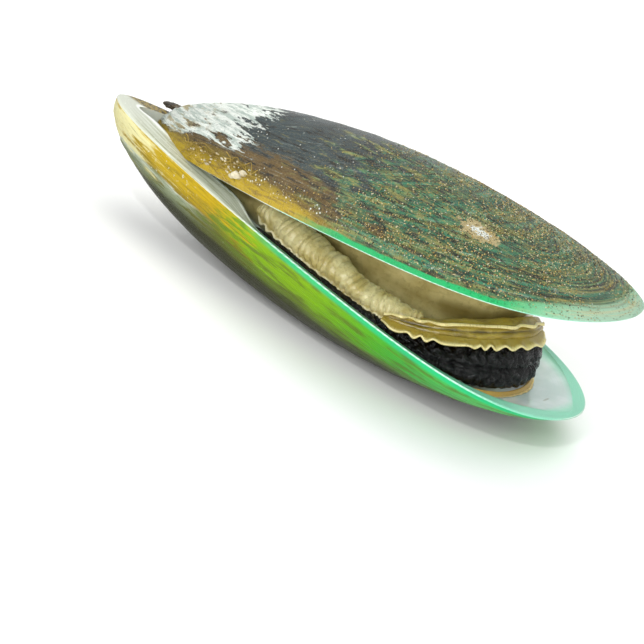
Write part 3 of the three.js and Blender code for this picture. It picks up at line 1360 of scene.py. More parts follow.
@dataclass
class Net:
    """Points and faces of a closed surface, gathered block by block."""

    points: list[Array] = field(default_factory=list)
    across: list[Array] = field(default_factory=list)
    faces: list[list[int]] = field(default_factory=list)
    places: list[int] = field(default_factory=list)
    count: int = 0

    def keep(self, row: Array, across: Array) -> Array:
        """Adds a row of points.

        Args:
            row: The points.
            across: Share of the way over the lip at each point.

        Returns:
            The points' numbers.
        """
        self.points.append(row)
        self.across.append(across)
        self.count += len(row)
        return np.arange(self.count - len(row), self.count)

    def skin(self, block: Array, across: float) -> Array:
        """Adds a skin whose first and last rows are single poles.

        Args:
            block: Points, as rows by columns by three.
            across: Share of the way over the lip.

        Returns:
            The points' numbers, as rows by columns.
        """
        index = np.zeros(block.shape[:2], int)
        for i, row in enumerate(block):
            kept = row[:1] if i in (0, len(block) - 1) else row
            index[i] = self.keep(kept, np.full(len(kept), across))
        return index

    def cover(self, index: Array, place: Face, flip: bool) -> None:
        """Adds the faces between neighbouring points.

        Args:
            index: The points' numbers, as rows by columns.
            place: The faces' material place.
            flip: Whether the faces look the other way.
        """
        for i in range(index.shape[0] - 1):
            for j in range(index.shape[1] - 1):
                quad = [index[i, j], index[i + 1, j], index[i + 1, j + 1], index[i, j + 1]]
                ring = list(dict.fromkeys(int(k) for k in (quad[::-1] if flip else quad)))
                if len(ring) > 2:
                    self.faces.append(ring)
                    self.places.append(place.value)


@dataclass
class ShellValve:
    """One valve: outer skin, rounded lip and inner skin as one closed wall."""

    side: Side
    workshop: Workshop
    materials: Sequence[bpy.types.Material]
    rows: int = 250
    outer_columns: int = 150
    inner_columns: int = 70
    lip_columns: int = 12
    rim_radius: float = 0.22
    terrace_height: float = 0.09
    terraces: float = 17.0
    seed: int = 3

    def _net(self) -> Net:
        """Whole wall of the valve in its own frame."""
        form = self.workshop.form
        share = (1.0 - np.cos(np.linspace(0.0, math.pi, self.rows + 1))) / 2.0
        outer = form.skin(form.outer(share), np.linspace(0.0, math.pi, self.outer_columns + 1))
        inner = form.skin(form.inner(share), np.linspace(0.0, math.pi, self.inner_columns + 1))
        outer[..., 2] = np.sqrt(outer[..., 2] ** 2 + self.rim_radius**2)
        net = Net()
        outer_index, inner_index = net.skin(outer, 0.0), net.skin(inner, 1.0)
        steps = np.linspace(0.0, 1.0, self.lip_columns + 1)[1:-1]
        lips = []
        poles: dict[int, Array] = {}
        for edge in (0, -1):
            rows = []
            for i, row in enumerate(self._lip(outer[:, edge], inner[:, edge], steps)):
                rows.append(poles[i] if i in poles else net.keep(row, steps))
                if i in (0, self.rows):
                    poles[i] = rows[-1]
            lips.append(np.hstack([outer_index[:, [edge]], np.array(rows), inner_index[:, [edge]]]))
        net.cover(outer_index, Face.OUTSIDE, False)
        net.cover(inner_index, Face.INSIDE, True)
        net.cover(lips[0], Face.LIP, True)
        net.cover(lips[1], Face.LIP, False)
        return net

    def _lip(self, outer: Array, inner: Array, steps: Array) -> Array:
        """Points of the lip between two edges, rounded at the outer one.

        Args:
            outer: Points of the outer skin's edge.
            inner: Points of the inner skin's edge.
            steps: Shares of the way from the outer edge to the inner one.

        Returns:
            Points, as edge points by steps by three.
        """
        width = np.linalg.norm(inner[:, :2] - outer[:, :2], axis=1)
        lip = outer[:, None, :] + (inner - outer)[:, None, :] * steps[None, :, None]
        near = 1.0 - np.minimum(1.0, steps[None, :] * width[:, None] / self.rim_radius)
        flat = inner[:, 2][:, None] * steps[None, :]
        lip[..., 2] = flat + self.rim_radius * (1.0 - np.sqrt(1.0 - near**2))
        return lip

    def _coordinates(self, points: Array) -> dict[str, Array]:
        """Plan place, and growth, ray and distance from the rim, at each point.

        Args:
            points: Points in the valve's own frame.

        Returns:
            Values by attribute name.
        """
        line = self.workshop.form.rim_line(400)
        angle = np.arctan2(line[:, 1], line[:, 0])
        reach = np.hypot(line[:, 0], line[:, 1])
        order = np.argsort(angle[1:]) + 1
        here = np.arctan2(points[:, 1], points[:, 0])
        edge = np.interp(here, angle[order], reach[order])
        growth = np.hypot(points[:, 0], points[:, 1]) / np.maximum(edge, 1e-6)
        rim = np.empty(len(points))
        for start in range(0, len(points), 4000):
            block = points[start:start + 4000, None, :] - line[None, :, :]
            rim[start:start + 4000] = np.sqrt((block**2).sum(-1).min(1))
        skin = np.stack([np.minimum(growth, 1.2), here / (math.pi / 2), rim], axis=-1)
        return {"plan": points.copy(), "skin": skin}

    def _grit(self, plan: Array, skin: Array) -> Array:
        """How closely sand sticks to the outer skin, from 0 to 1.

        Args:
            plan: Plan place of the points.
            skin: Growth, ray and distance from the rim at each point.

        Returns:
            The closeness.
        """
        along, rim = plan[:, 0] / self.workshop.form.length, skin[:, 2]
        bands = Unevenness(self.seed + 7).at(skin[:, 0] * 40.0, skin[:, 1] * 6.0)
        patches = Unevenness(self.seed + 8).at(plan[:, 0] / 7.0, plan[:, 1] / 4.0)
        hind = smooth_step(along, 0.42, 0.66) * smooth_step(rim, 1.4, 3.0)
        band = smooth_step(rim, 2.0, 3.2) * (1.0 - smooth_step(rim, 4.0, 7.0))
        scuffed = 0.5 * smooth_step(along, 0.22, 0.34) * band
        tip = 1.0 - 0.7 * smooth_step(along, 0.93, 0.98)
        return np.clip(np.maximum(hind, scuffed) * tip * (0.5 + 0.5 * bands + 0.4 * patches), 0.0, 1.0)

    def _relief(self, points: Array, normals: Array, skin: Array, outside: Array) -> Array:
        """Growth terraces, dents and a roughened umbo on the outer skin.

        Args:
            points: Points in the valve's own frame.
            normals: Their normals.
            skin: Growth, ray and distance from the rim at each point.
            outside: Which points are on the outer skin.

        Returns:
            The moved points.
        """
        growth, ray, rim = skin.T
        wander = Unevenness(self.seed)
        count = growth * self.terraces + 0.8 * wander.at(ray * 3.0, growth * 9.0)
        step = count - np.floor(count)
        terrace = np.where(step < 0.8, step / 0.8, (1.0 - step) / 0.2) - 0.5
        terrace *= 0.6 + 0.4 * wander.at(np.floor(count) * 3.7, 0.5)
        fine = Unevenness(self.seed + 1).at(ray * 14.0, growth * 85.0)
        dents = Unevenness(self.seed + 2).at(points[:, 0] / 6.0, points[:, 1] / 4.0)
        umbo = 1.0 - smooth_step(points[:, 0], 3.0, 14.0)
        pits = Unevenness(self.seed + 3).at(points[:, 0] * 1.1, points[:, 1] * 1.1 + points[:, 2] * 0.7)
        height = self.terrace_height * terrace + 0.035 * fine + 0.08 * dents + 0.22 * umbo * pits
        fade = smooth_step(rim, 0.4, 2.5) * outside
        return points + normals * (height * fade)[:, None]

    def build(self) -> bpy.types.Object:
        """Makes the valve."""
        net = self._net()
        points, faces, places = np.vstack(net.points), net.faces, net.places
        attributes = self._coordinates(points) | {"lip": np.concatenate(net.across)}
        normals = vertex_normals(points, faces)
        outside = np.zeros(len(points))
        outer_faces = [f for f, place in zip(faces, places) if place == Face.OUTSIDE.value]
        outside[np.unique(np.concatenate([np.array(f) for f in outer_faces]))] = 1.0
        attributes["grit"] = self._grit(attributes["plan"], attributes["skin"]) * outside
        points = self._relief(points, normals, attributes["skin"], outside)
        if self.side is Side.UPPER:
            points = self._above_lower(self.workshop.lie.upper_to_lower(points), outside)
        else:
            points = points * np.array([1.0, 1.0, -1.0])
            faces = [f[::-1] for f in faces]
        return self.workshop.make(
            f"{self.side.value}_shell", Surface(points, faces, places, attributes), self.materials
        )

    def _above_lower(self, points: Array, outside: Array) -> Array:
        """Upper valve's points lifted clear of the lower valve where the umbos meet.

        Args:
            points: Points in the lower valve's frame.
            outside: Which points are on the outer skin.

        Returns:
            The lifted points.
        """
        form = self.workshop.form
        s = form.outer(np.clip(points[:, 0] / form.length, 0.0, 1.0))
        over = (points[:, 1] > -s.ventral) & (points[:, 1] < s.dorsal) & (points[:, 0] < 40.0)
        floor = -form.hollow(points[:, 0], points[:, 1]) + np.where(outside > 0, 0.35, 1.2)
        points[:, 2] = np.where(over, np.maximum(points[:, 2], floor), points[:, 2])
        return points


# ---------------------------------------------------------------- what is scattered or follows a path
class Recipe:
    """A Geometry Nodes tree with named inputs that turns one mesh into another."""

    def __init__(self, name: str, inputs: dict[str, str]) -> None:
        """Args:
            name: The tree's name.
            inputs: Kind of socket for each input's name, past the geometry.
        """
        self.tree = bpy.data.node_groups.new(name, "GeometryNodeTree")
        self.tree.interface.new_socket("Geometry", in_out="INPUT", socket_type="NodeSocketGeometry")
        for label, kind in inputs.items():
            self.tree.interface.new_socket(label, in_out="INPUT", socket_type=kind)
        self.tree.interface.new_socket("Geometry", in_out="OUTPUT", socket_type="NodeSocketGeometry")
        self.graph = Graph(self.tree)
        entry = self.graph.add("NodeGroupInput")
        self.leave = self.graph.add("NodeGroupOutput")
        self.given = {s.name: s for s in entry.outputs if s.name}

    def end(self, geometry: Socket) -> None:
        """Realizes the instances and gives them the material.

        Args:
            geometry: What the tree puts out.
        """
        real = self.graph.add("GeometryNodeRealizeInstances")
        self.graph.feed(real.inputs["Geometry"], geometry)
        dressed = self.graph.add("GeometryNodeSetMaterial")
        self.graph.feed(dressed.inputs["Geometry"], real.outputs["Geometry"])
        self.graph.feed(dressed.inputs["Material"], self.given["Material"])
        self.graph.feed(self.leave.inputs[0], dressed.outputs["Geometry"])

    def run(self, source: bpy.types.Mesh, name: str, values: dict[str, object]) -> bpy.types.Object:
        """Makes a plain object from a mesh.

        Args:
            source: The mesh to work on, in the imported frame.
            name: The new piece's name.
            values: Value for each input's name.

        Returns:
            The new object, without a modifier.
        """
        holder = bpy.data.objects.new(name + "_source", source)
        bpy.context.scene.collection.objects.link(holder)
        modifier = holder.modifiers.new("recipe", "NODES")
        modifier.node_group = self.tree
        for item in self.tree.interface.items_tree:
            if item.in_out == "INPUT" and item.name in values:
                modifier[item.identifier] = values[item.name]
        holder.update_tag()
        made = bpy.data.meshes.new_from_object(holder.evaluated_get(bpy.context.evaluated_depsgraph_get()))
        bpy.data.objects.remove(holder)
        made.name = name
        made.shade_smooth()
        piece = bpy.data.objects.new(name, made)
        bpy.context.scene.collection.objects.link(piece)
        return piece


def scatter_recipe() -> Recipe:
    """Small stretched grains scattered over a mesh where its grit attribute says."""
    recipe = Recipe("scattered grains", {
        "Density": "NodeSocketFloat", "Smallest": "NodeSocketVector", "Largest": "NodeSocketVector",
        "Tilt": "NodeSocketFloat", "Material": "NodeSocketMaterial",
    })
    g, given = recipe.graph, recipe.given
    grit = g.add("GeometryNodeInputNamedAttribute", data_type="FLOAT")
    grit.inputs["Name"].default_value = "grit"
    dots = g.add("GeometryNodeDistributePointsOnFaces")
    g.feed(dots.inputs["Mesh"], given["Geometry"])
    g.feed(dots.inputs["Density"], g.times(grit.outputs["Attribute"], given["Density"]))
    dots.inputs["Seed"].default_value = 4
    grain = g.add("GeometryNodeMeshIcoSphere")
    grain.inputs["Radius"].default_value = 1.0
    grain.inputs["Subdivisions"].default_value = 1
    size = g.add("FunctionNodeRandomValue", data_type="FLOAT_VECTOR")
    g.feed(size.inputs[0], given["Smallest"])
    g.feed(size.inputs[1], given["Largest"])
    size.inputs["Seed"].default_value = 5
    spin = g.add("FunctionNodeRandomValue", data_type="FLOAT_VECTOR")
    g.feed(spin.inputs[0], g.vector(g.times(given["Tilt"], -1.0), g.times(given["Tilt"], -1.0), 0.0))
    g.feed(spin.inputs[1], g.vector(given["Tilt"], given["Tilt"], 2.0 * math.pi))
    spin.inputs["Seed"].default_value = 6
    turned = g.add("FunctionNodeRotateRotation", rotation_space="LOCAL")
    g.feed(turned.inputs[0], dots.outputs["Rotation"])
    g.feed(turned.inputs[1], spin.outputs[0])
    placed = g.add("GeometryNodeInstanceOnPoints")
    g.feed(placed.inputs["Points"], dots.outputs["Points"])
    g.feed(placed.inputs["Instance"], grain.outputs["Mesh"])
    g.feed(placed.inputs["Rotation"], turned.outputs[0])
    g.feed(placed.inputs["Scale"], size.outputs[0])
    shade = g.add("FunctionNodeRandomValue", data_type="FLOAT")
    shade.inputs["Seed"].default_value = 7
    kept = g.add("GeometryNodeStoreNamedAttribute", data_type="FLOAT", domain="INSTANCE")
    kept.inputs["Name"].default_value = "tint"
    g.feed(kept.inputs["Geometry"], placed.outputs["Instances"])
    g.feed(next(s for s in kept.inputs if s.name == "Value" and s.enabled),
           next(s for s in shade.outputs if s.enabled))
    recipe.end(kept.outputs["Geometry"])
    return recipe


def thread_recipe() -> Recipe:
    """Round threads along the edges of a mesh."""
    recipe = Recipe("threads", {"Radius": "NodeSocketFloat", "Material": "NodeSocketMaterial"})
    g, given = recipe.graph, recipe.given
    line = g.add("GeometryNodeMeshToCurve")
    g.feed(line.inputs["Mesh"], given["Geometry"])
    ring = g.add("GeometryNodeCurvePrimitiveCircle")
    ring.inputs["Resolution"].default_value = 6
    g.feed(ring.inputs["Radius"], given["Radius"])
    tube = g.add("GeometryNodeCurveToMesh")
    g.feed(tube.inputs["Curve"], line.outputs["Curve"])
    g.feed(tube.inputs["Profile Curve"], ring.outputs["Curve"])
    tube.inputs["Fill Caps"].default_value = True
    recipe.end(tube.outputs["Mesh"])
    return recipe


@dataclass(frozen=True)
class GrainFinish:
    """Grains of a few tints."""

    name: str
    tints: tuple[str, ...]
    roughness: float = 0.6
    shade: str = "#2A2418"

    def build(self) -> bpy.types.Material:
        """Builds the material."""
        finish = Finish(self.name, self.roughness, bump_distance=0.00005)
        g = finish.start()
        ramp = g.add("ShaderNodeValToRGB")
        ramp.color_ramp.interpolation = "CONSTANT"
        elements = ramp.color_ramp.elements
        for k, tint in enumerate(self.tints):
            element = elements[k] if k < 2 else elements.new(1.0)
            element.position = k / len(self.tints)
            element.color = paint(tint)
        g.feed(ramp.inputs["Fac"], g.add("ShaderNodeAttribute", attribute_name="tint").outputs["Fac"])
        place = g.add("ShaderNodeTexCoord").outputs["Object"]
        grain = g.noise(place, 9000.0, detail=2.0)
        colour = g.mix(grain, ramp.outputs["Color"], self.shade, 0.35)
        return finish.end(g, colour, grain)


@dataclass
class ShellLitter:
    """Sand grains, byssus threads and crumbs of lime that lie on the upper valve."""

    workshop: Workshop
    shell: bpy.types.Object
    grain_density: float = 7.5e6
    threads: int = 22
    thread_radius: float = 0.07
    seed: int = 61

    def build(self) -> list[bpy.types.Object]:
        """Makes the litter."""
        pieces = [self._sand(), self._threads(), self._crumbs()]
        for piece in pieces:
            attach(piece, BODY)
        return pieces

    def _sand(self) -> bpy.types.Object:
        """Sand grains stuck to the hind half of the valve."""
        tints = ("#CDB064", "#A07F38", "#4C4228", "#DCCFA4", "#16180F", "#6E7040")
        finish = GrainFinish("sand grains", tints)
        return scatter_recipe().run(self.shell.data.copy(), "sand_grains", {
            "Density": self.grain_density, "Smallest": (0.00006, 0.00005, 0.00003),
            "Largest": (0.00024, 0.00017, 0.0001), "Tilt": 0.5, "Material": finish.build(),
        })

    def _skin_points(self, share: Array, angle: Array) -> Array:
        """Points of the upper valve's outer skin, in its own frame, one for each share and angle."""
        form = self.workshop.form
        return np.array([form.skin(form.outer(s[None]), a[None])[0, 0] for s, a in zip(share, angle)])

    def _on_shell(self, share: Array, angle: Array, lift: Array | float) -> Array:
        """Places in the lower valve's frame, lifted off the upper valve's outer skin.

        Args:
            share: Shares of the way along the valve.
            angle: Angles round it.
            lift: Height over the skin.

        Returns:
            The places.
        """
        here = self._skin_points(share, angle)
        step = 1e-3
        along = self._skin_points(share + step, angle) - here
        round_section = self._skin_points(share, angle + step) - here
        normal = np.cross(along, round_section)
        normal /= np.linalg.norm(normal, axis=1, keepdims=True)
        lift = np.broadcast_to(np.asarray(lift, float), share.shape)
        return self.workshop.lie.upper_to_lower(here + normal * lift[:, None])

    def _threads(self) -> bpy.types.Object:
        """A loose tangle of golden threads above the front of the rim."""
        rng = np.random.default_rng(self.seed)
        points, edges = [], []
        for _ in range(self.threads):
            count = int(rng.integers(14, 34))
            share = np.full(count, rng.uniform(0.12, 0.27)) + np.arange(count) * rng.uniform(0.0016, 0.0034)
            wander = Unevenness(int(rng.integers(1, 9000)))
            angle = rng.uniform(0.12, 0.42) + 0.09 * wander.at(np.arange(count) / 6.0)
            lift = 0.12 + 0.3 * np.abs(Unevenness(int(rng.integers(1, 9000))).at(np.arange(count) / 5.0))
            line = self._on_shell(share, np.clip(angle, 0.06, 0.8), lift)
            edges += [(len(points) + k, len(points) + k + 1) for k in range(count - 1)]
            points += list(line)
        mesh = bpy.data.meshes.new("thread_lines")
        mesh.from_pydata(self.workshop.to_row(np.array(points)).tolist(), edges, [])
        finish = MeatFinish("byssus threads", "#BFA244", "#877026", "#574614", coat=0.0, subsurface=0.0)
        return thread_recipe().run(mesh, "byssus_threads", {
            "Radius": self.thread_radius * METRES_PER_MM, "Material": finish.build(ShaderGroups.shared()),
        })

    def _crumbs(self) -> bpy.types.Object:
        """Lime crumbs caught in the threads."""
        rng = np.random.default_rng(self.seed + 1)
        ball = bmesh.new()
        bmesh.ops.create_icosphere(ball, subdivisions=3, radius=1.0)
        sphere = np.array([v.co[:] for v in ball.verts])
        triangles = [[v.index for v in f.verts] for f in ball.faces]
        ball.free()
        points, faces = [], []
        spots = [(0.285, 0.2, 0.95), (0.297, 0.26, 0.7), (0.272, 0.16, 0.6)]
        spots += [(rng.uniform(0.13, 0.3), rng.uniform(0.1, 0.4), rng.uniform(0.12, 0.3)) for _ in range(40)]
        for share, angle, radius in spots:
            centre = self._on_shell(np.array([share]), np.array([angle]), radius * 0.25)[0]
            lumps = Unevenness(int(rng.integers(1, 9000)))
            rough = 1.0 + 0.3 * lumps.at(sphere[:, 0] * 2 + 9, sphere[:, 1] * 2 + sphere[:, 2])
            faces += [[len(points) + k for k in f] for f in triangles]
            points += list(centre + sphere * rough[:, None] * radius * np.array([1.2, 0.9, 0.7]))
        points = np.array(points)
        strip = np.zeros_like(points)
        finish = MeatFinish("lime crumbs", "#DAD2B8", "#B4A888", "#7C6C44", roughness=0.7, coat=0.0,
                            subsurface=0.1, bump=0.0002, grain=2600.0)
        return self.workshop.make("lime_crumbs", Surface(points, faces, [], {"strip": strip}),
                                  [finish.build(ShaderGroups.shared())])


# ---------------------------------------------------------------- the meat
@dataclass
class Loft:
    """Closed body of oval sections standing across a smooth path, in the lower valve's frame.

    Each key is (x, y, z, half width, half height, lean of the top towards the path's left).
    """

    name: str
    node: str
    slot: str
    keys: Sequence[tuple[float, ...]]
    workshop: Workshop
    material: bpy.types.Material
    steps: int = 200
    sides: int = 64
    enclosed: bool = True
    round_ends: float = 0.035
    relief: Callable[[Array, Array], Array] | None = None

    def frames(self, share: Array) -> tuple[Array, Array, Array]:
        """Keys, left normals and travelled distance at shares of the path.

        Args:
            share: Shares of the path.

        Returns:
            The keys, normals and distances.
        """
        keys = np.array(self.keys, float)
        here = spline(keys, share)
        gap = 0.02
        ahead, behind = spline(keys, np.minimum(share + gap, 1.0)), spline(keys, np.maximum(share - gap, 0.0))
        left = np.stack([behind[:, 1] - ahead[:, 1], ahead[:, 0] - behind[:, 0]], axis=-1)
        left /= np.linalg.norm(left, axis=1, keepdims=True)
        run = np.concatenate([[0.0], np.cumsum(np.linalg.norm(np.diff(here[:, :3], axis=0), axis=1))])
        return here, left, run

    def surface(
        self, share: Array, angle: Array, swell: Array | float = 0.0, shrink: Array | float = 1.0
    ) -> Array:
        """Points of the body.

        Args:
            share: Places along the path.
            angle: Angles round the section, in step with share or as a second axis.
            swell: Outward growth in millimetres.
            shrink: Share of the full section, for closing the ends.

        Returns:
            Points, three to each place.
        """
        here, left, _ = self.frames(share)
        pick = (slice(None),) + (None,) * (np.ndim(angle) - 1) if np.ndim(angle) > 1 else slice(None)
        width, height, lean = (here[:, k][pick] for k in (3, 4, 5))
        side = ((width + swell) * np.cos(angle) + lean * np.sin(angle)) * shrink
        up = (height + swell) * np.sin(angle) * shrink
        x = here[:, 0][pick] + left[:, 0][pick] * side
        y = here[:, 1][pick] + left[:, 1][pick] * side
        return np.stack(np.broadcast_arrays(x, y, here[:, 2][pick] + up), axis=-1)

    def build(self) -> bpy.types.Object:
        """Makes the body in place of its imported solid."""
        share = (1.0 - np.cos(np.linspace(0.0, math.pi, self.steps + 1))) * 0.5
        share = 0.5 * share + 0.5 * np.linspace(0.0, 1.0, self.steps + 1)
        angle = np.linspace(0.0, 2.0 * math.pi, self.sides, endpoint=False)
        _, _, run = self.frames(share)
        start = 1.0 - np.minimum(1.0, share / self.round_ends)
        finish = 1.0 - np.minimum(1.0, (1.0 - share) / self.round_ends)
        shrink = np.sqrt(np.maximum(0.0, 1.0 - start**2) * np.maximum(0.0, 1.0 - finish**2))
        grid_angle = np.broadcast_to(angle[None, :], (len(share), self.sides))
        swell = np.zeros_like(grid_angle)
        if self.relief:
            swell = self.relief(run[:, None], grid_angle)
        block = self.surface(share, grid_angle, swell, shrink[:, None])
        points = [block[0].mean(0, keepdims=True)]
        points += [block[i] for i in range(1, self.steps)]
        points.append(block[-1].mean(0, keepdims=True))
        points = np.vstack(points)
        strip = np.stack(np.broadcast_arrays(run[:, None], grid_angle, swell), axis=-1)
        strip = np.vstack([strip[0, :1]] + [strip[i] for i in range(1, self.steps)] + [strip[-1, :1]])
        if self.enclosed:
            points = self.workshop.between_valves(points)
        faces = []
        last = len(points) - 1
        for j in range(self.sides):
            k = (j + 1) % self.sides
            faces.append([0, 1 + k, 1 + j])
            for i in range(self.steps - 2):
                a, b = 1 + i * self.sides, 1 + (i + 1) * self.sides
                faces.append([a + j, a + k, b + k, b + j])
            a = 1 + (self.steps - 2) * self.sides
            faces.append([a + j, a + k, last])
        piece = self.workshop.make(self.name, Surface(points, faces, [], {"strip": strip}), [self.material])
        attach(piece, BODY)
        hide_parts(self.node)
        return piece


@dataclass
class Ribbon:
    """Thin frilled edge that stands on a loft, thicker along its free border."""

    name: str
    slot: str
    root: Loft
    material: bpy.types.Material
    angle: float
    span: tuple[float, float] = (0.0, 1.0)
    reach: float = 1.2
    thickness: float = 0.25
    border: float = 0.2
    rooted: float = 0.15
    bead_crest: float = 0.93
    bead_width: float = 0.16
    wave_length: float = 3.4
    wave_height: float = 0.5
    scallop: float = 0.3
    droop: float = 0.3
    seed: int = 11
    steps: int = 420
    across: int = 10

    def build(self) -> bpy.types.Object:
        """Makes the ribbon."""
        share = np.linspace(*self.span, self.steps + 1)
        angle = np.full(len(share), self.angle)
        base = self.root.surface(share, angle, -self.rooted)
        outer = self.root.surface(share, angle, 1.0)
        away = outer - base
        away /= np.linalg.norm(away, axis=1, keepdims=True)
        run = np.concatenate([[0.0], np.cumsum(np.linalg.norm(np.diff(base, axis=0), axis=1))])
        along = np.gradient(base, axis=0)
        along /= np.linalg.norm(along, axis=1, keepdims=True)
        lift = np.cross(along, away)
        wander = Unevenness(self.seed)
        phase = run / self.wave_length + 0.7 * wander.at(run / (1.8 * self.wave_length))
        wave = np.sin(2.0 * math.pi * phase) * (0.65 + 0.35 * wander.at(run / 4.0, 3.0))
        ends = smooth_step(share, self.span[0], self.span[0] + 0.06) * (
            1.0 - smooth_step(share, self.span[1] - 0.14, self.span[1])
        )
        reach = self.reach * (0.35 + 0.65 * ends) * (1.0 + self.scallop * wave)
        u = np.linspace(0.0, 1.0, self.across + 1)
        middle = base[:, None, :] + away[:, None, :] * (reach[:, None] * u[None, :])[..., None]
        rise = self.wave_height * (wave * ends)[:, None] * u[None, :] ** 1.5
        middle = middle + lift[:, None, :] * rise[..., None]
        middle[..., 2] -= self.droop * (ends[:, None] * u[None, :] ** 2)
        normal = np.cross(np.gradient(middle, axis=0), np.gradient(middle, axis=1))
        normal /= np.maximum(np.linalg.norm(normal, axis=-1, keepdims=True), 1e-9)
        past_crest = np.maximum(u - self.bead_crest, 0) / (1.0 - self.bead_crest)
        rounding = np.sqrt(np.maximum(1.0 - past_crest**2 * 0.9, 0.02))
        bead = self.border * np.exp(-(((1.0 - u) / self.bead_width) ** 2)) * rounding
        half = (self.thickness / 2.0 + bead)[None, :, None]
        return self._close(middle + normal * half, middle - normal * half, run, wave, u)

    def _close(self, top: Array, under: Array, run: Array, wave: Array, u: Array) -> bpy.types.Object:
        """Joins the two sides round all four borders.

        Args:
            top: Points of the upper side.
            under: Points of the underside.
            run: Distance along the path.
            wave: Height of the ruffle.
            u: Share of the way across.

        Returns:
            The ribbon.
        """
        rows, columns = top.shape[:2]
        points = np.vstack([top.reshape(-1, 3), under.reshape(-1, 3)])
        upper = np.arange(rows * columns).reshape(rows, columns)
        lower = upper + rows * columns
        faces = []
        for i in range(rows - 1):
            for j in range(columns - 1):
                faces.append([upper[i, j], upper[i + 1, j], upper[i + 1, j + 1], upper[i, j + 1]])
                faces.append([lower[i, j], lower[i, j + 1], lower[i + 1, j + 1], lower[i + 1, j]])
            for j, flip in ((0, False), (columns - 1, True)):
                quad = [upper[i, j], lower[i, j], lower[i + 1, j], upper[i + 1, j]]
                faces.append(quad[::-1] if flip else quad)
        for j in range(columns - 1):
            for i, flip in ((0, True), (rows - 1, False)):
                quad = [upper[i, j], lower[i, j], lower[i, j + 1], upper[i, j + 1]]
                faces.append(quad[::-1] if flip else quad)
        faces = [[int(k) for k in f] for f in faces]
        one = np.stack(np.broadcast_arrays(run[:, None], u[None, :], 0.25 * wave[:, None]), axis=-1)
        strip = np.vstack([one.reshape(-1, 3)] * 2)
        points = self.root.workshop.between_valves(points, 0.2)
        surface = Surface(points, faces, [], {"strip": strip})
        piece = self.root.workshop.make(self.name, surface, [self.material])
        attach(piece, BODY)
        return piece


MANTLE_KEYS = (
    (26, 2.5, -1.5, 4, 2.5, 0), (34, 3, 0.5, 7, 5.5, 1), (45, 3.5, 2, 8.5, 9, 2), (58, 4.5, 4, 10, 13, 2),
    (70, 5, 6, 10.5, 16, 1), (80, 6, 8, 10, 17, -1), (87, 7, 10, 8, 14, -2), (91, 7.5, 12, 4, 8, -2),
)
GILL_KEYS = (
    (40, -7.6, 0.6, 0.9, 0.9, 0), (44, -9, 1.2, 1.7, 1.6, 0.3), (50, -10.6, 1.5, 2.2, 2, 0.5),
    (58, -11.8, 1.3, 2.2, 1.9, 0.5), (67, -12.4, 0.7, 1.9, 1.6, 0.4), (74, -12, 1.2, 1.6, 1.3, 0.3),
    (79, -10.5, 2, 0.9, 0.8, 0),
)
DARK_KEYS = (
    (42, -13.2, -1.8, 0.7, 1.2, 0.2), (52, -15, -1.9, 1.1, 1.5, 0.3), (64, -16.4, -2.1, 1.5, 1.6, 0.4),
    (74, -16.4, -2.4, 2, 1.9, 0.8), (82, -14.4, -1.7, 2.6, 2.6, 1.4), (88, -11, -0.3, 3, 3.7, 1.8),
    (92.5, -6.5, 0.8, 3.2, 4.5, 1.9), (95, -1, 1.5, 2.8, 4.8, 1.6), (95.3, 5, 1.8, 2.2, 4.5, 1.2),
    (93.6, 10, 1.8, 1.2, 3, 0.6),
)
YELLOW_KEYS = (
    (73, -14.2, 0, 1, 0.6, 0.2), (80, -11.6, 1.9, 1.9, 1.1, 0.5), (84, -9.6, 3.6, 2.2, 1.4, 0.6),
    (88, -6, 5.3, 2.4, 1.5, 0.6), (91, -2.5, 6.8, 2.4, 1.6, 0.6), (93, 2, 7.8, 2.2, 1.5, 0.5),
    (93.3, 6.5, 7.9, 1.2, 1.1, 0.2),
)
LIGAMENT_KEYS = (
    (6, 6.2, 1, 0.6, 0.5, 0), (9, 7.6, 1.1, 0.8, 0.6, 0), (14, 10, 1.15, 0.9, 0.65, 0),
    (20, 12.4, 1.15, 0.9, 0.65, 0), (27, 14.9, 1.1, 0.8, 0.6, 0), (34, 17, 1, 0.6, 0.5, 0),
)


def body_relief(run: Array, angle: Array) -> Array:
    """Slow swellings of the mantle's body, with one long shallow fold.

    Args:
        run: Millimetres along the path.
        angle: Angle round the section.

    Returns:
        Height over the skin, in millimetres.
    """
    swell = 0.45 + 0.35 * Unevenness(41).at(run / 7.0, angle * 1.4)
    fold = np.exp(-(((angle - 3.35) / 0.16) ** 2)) * 0.6
    return swell - fold + 0.06 * Unevenness(42).at(run * 0.9, angle * 6.0)


def gill_relief(run: Array, angle: Array) -> Array:
    """Close ribs across the gill band.

    Args:
        run: Millimetres along the path.
        angle: Angle round the section.

    Returns:
        Height over the skin, in millimetres.
    """
    phase = run / 1.6 + 0.9 * Unevenness(43).at(run / 2.2, angle * 0.5) + 0.3 * np.sin(angle)
    rib = np.abs(np.sin(math.pi * phase)) ** 0.7 - 0.6
    depth = 0.45 * (1.0 + 0.7 * Unevenness(44).at(run / 1.3, angle))
    return 0.5 + depth * rib + 0.3 * Unevenness(45).at(run / 3.0, angle)


def yellow_relief(run: Array, angle: Array) -> Array:
    """Soft lengthwise grooves of the yellow border.

    Args:
        run: Millimetres along the path.
        angle: Angle round the section.

    Returns:
        Height over the skin, in millimetres.
    """
    groove = np.exp(-(((angle - 2.75) / 0.12) ** 2)) * 0.35
    swell = 0.16 * Unevenness(46).at(run / 2.5, angle * 1.5)
    grain = 0.05 * Unevenness(47).at(run * 1.6, angle * 4.0)
    return swell - groove + grain


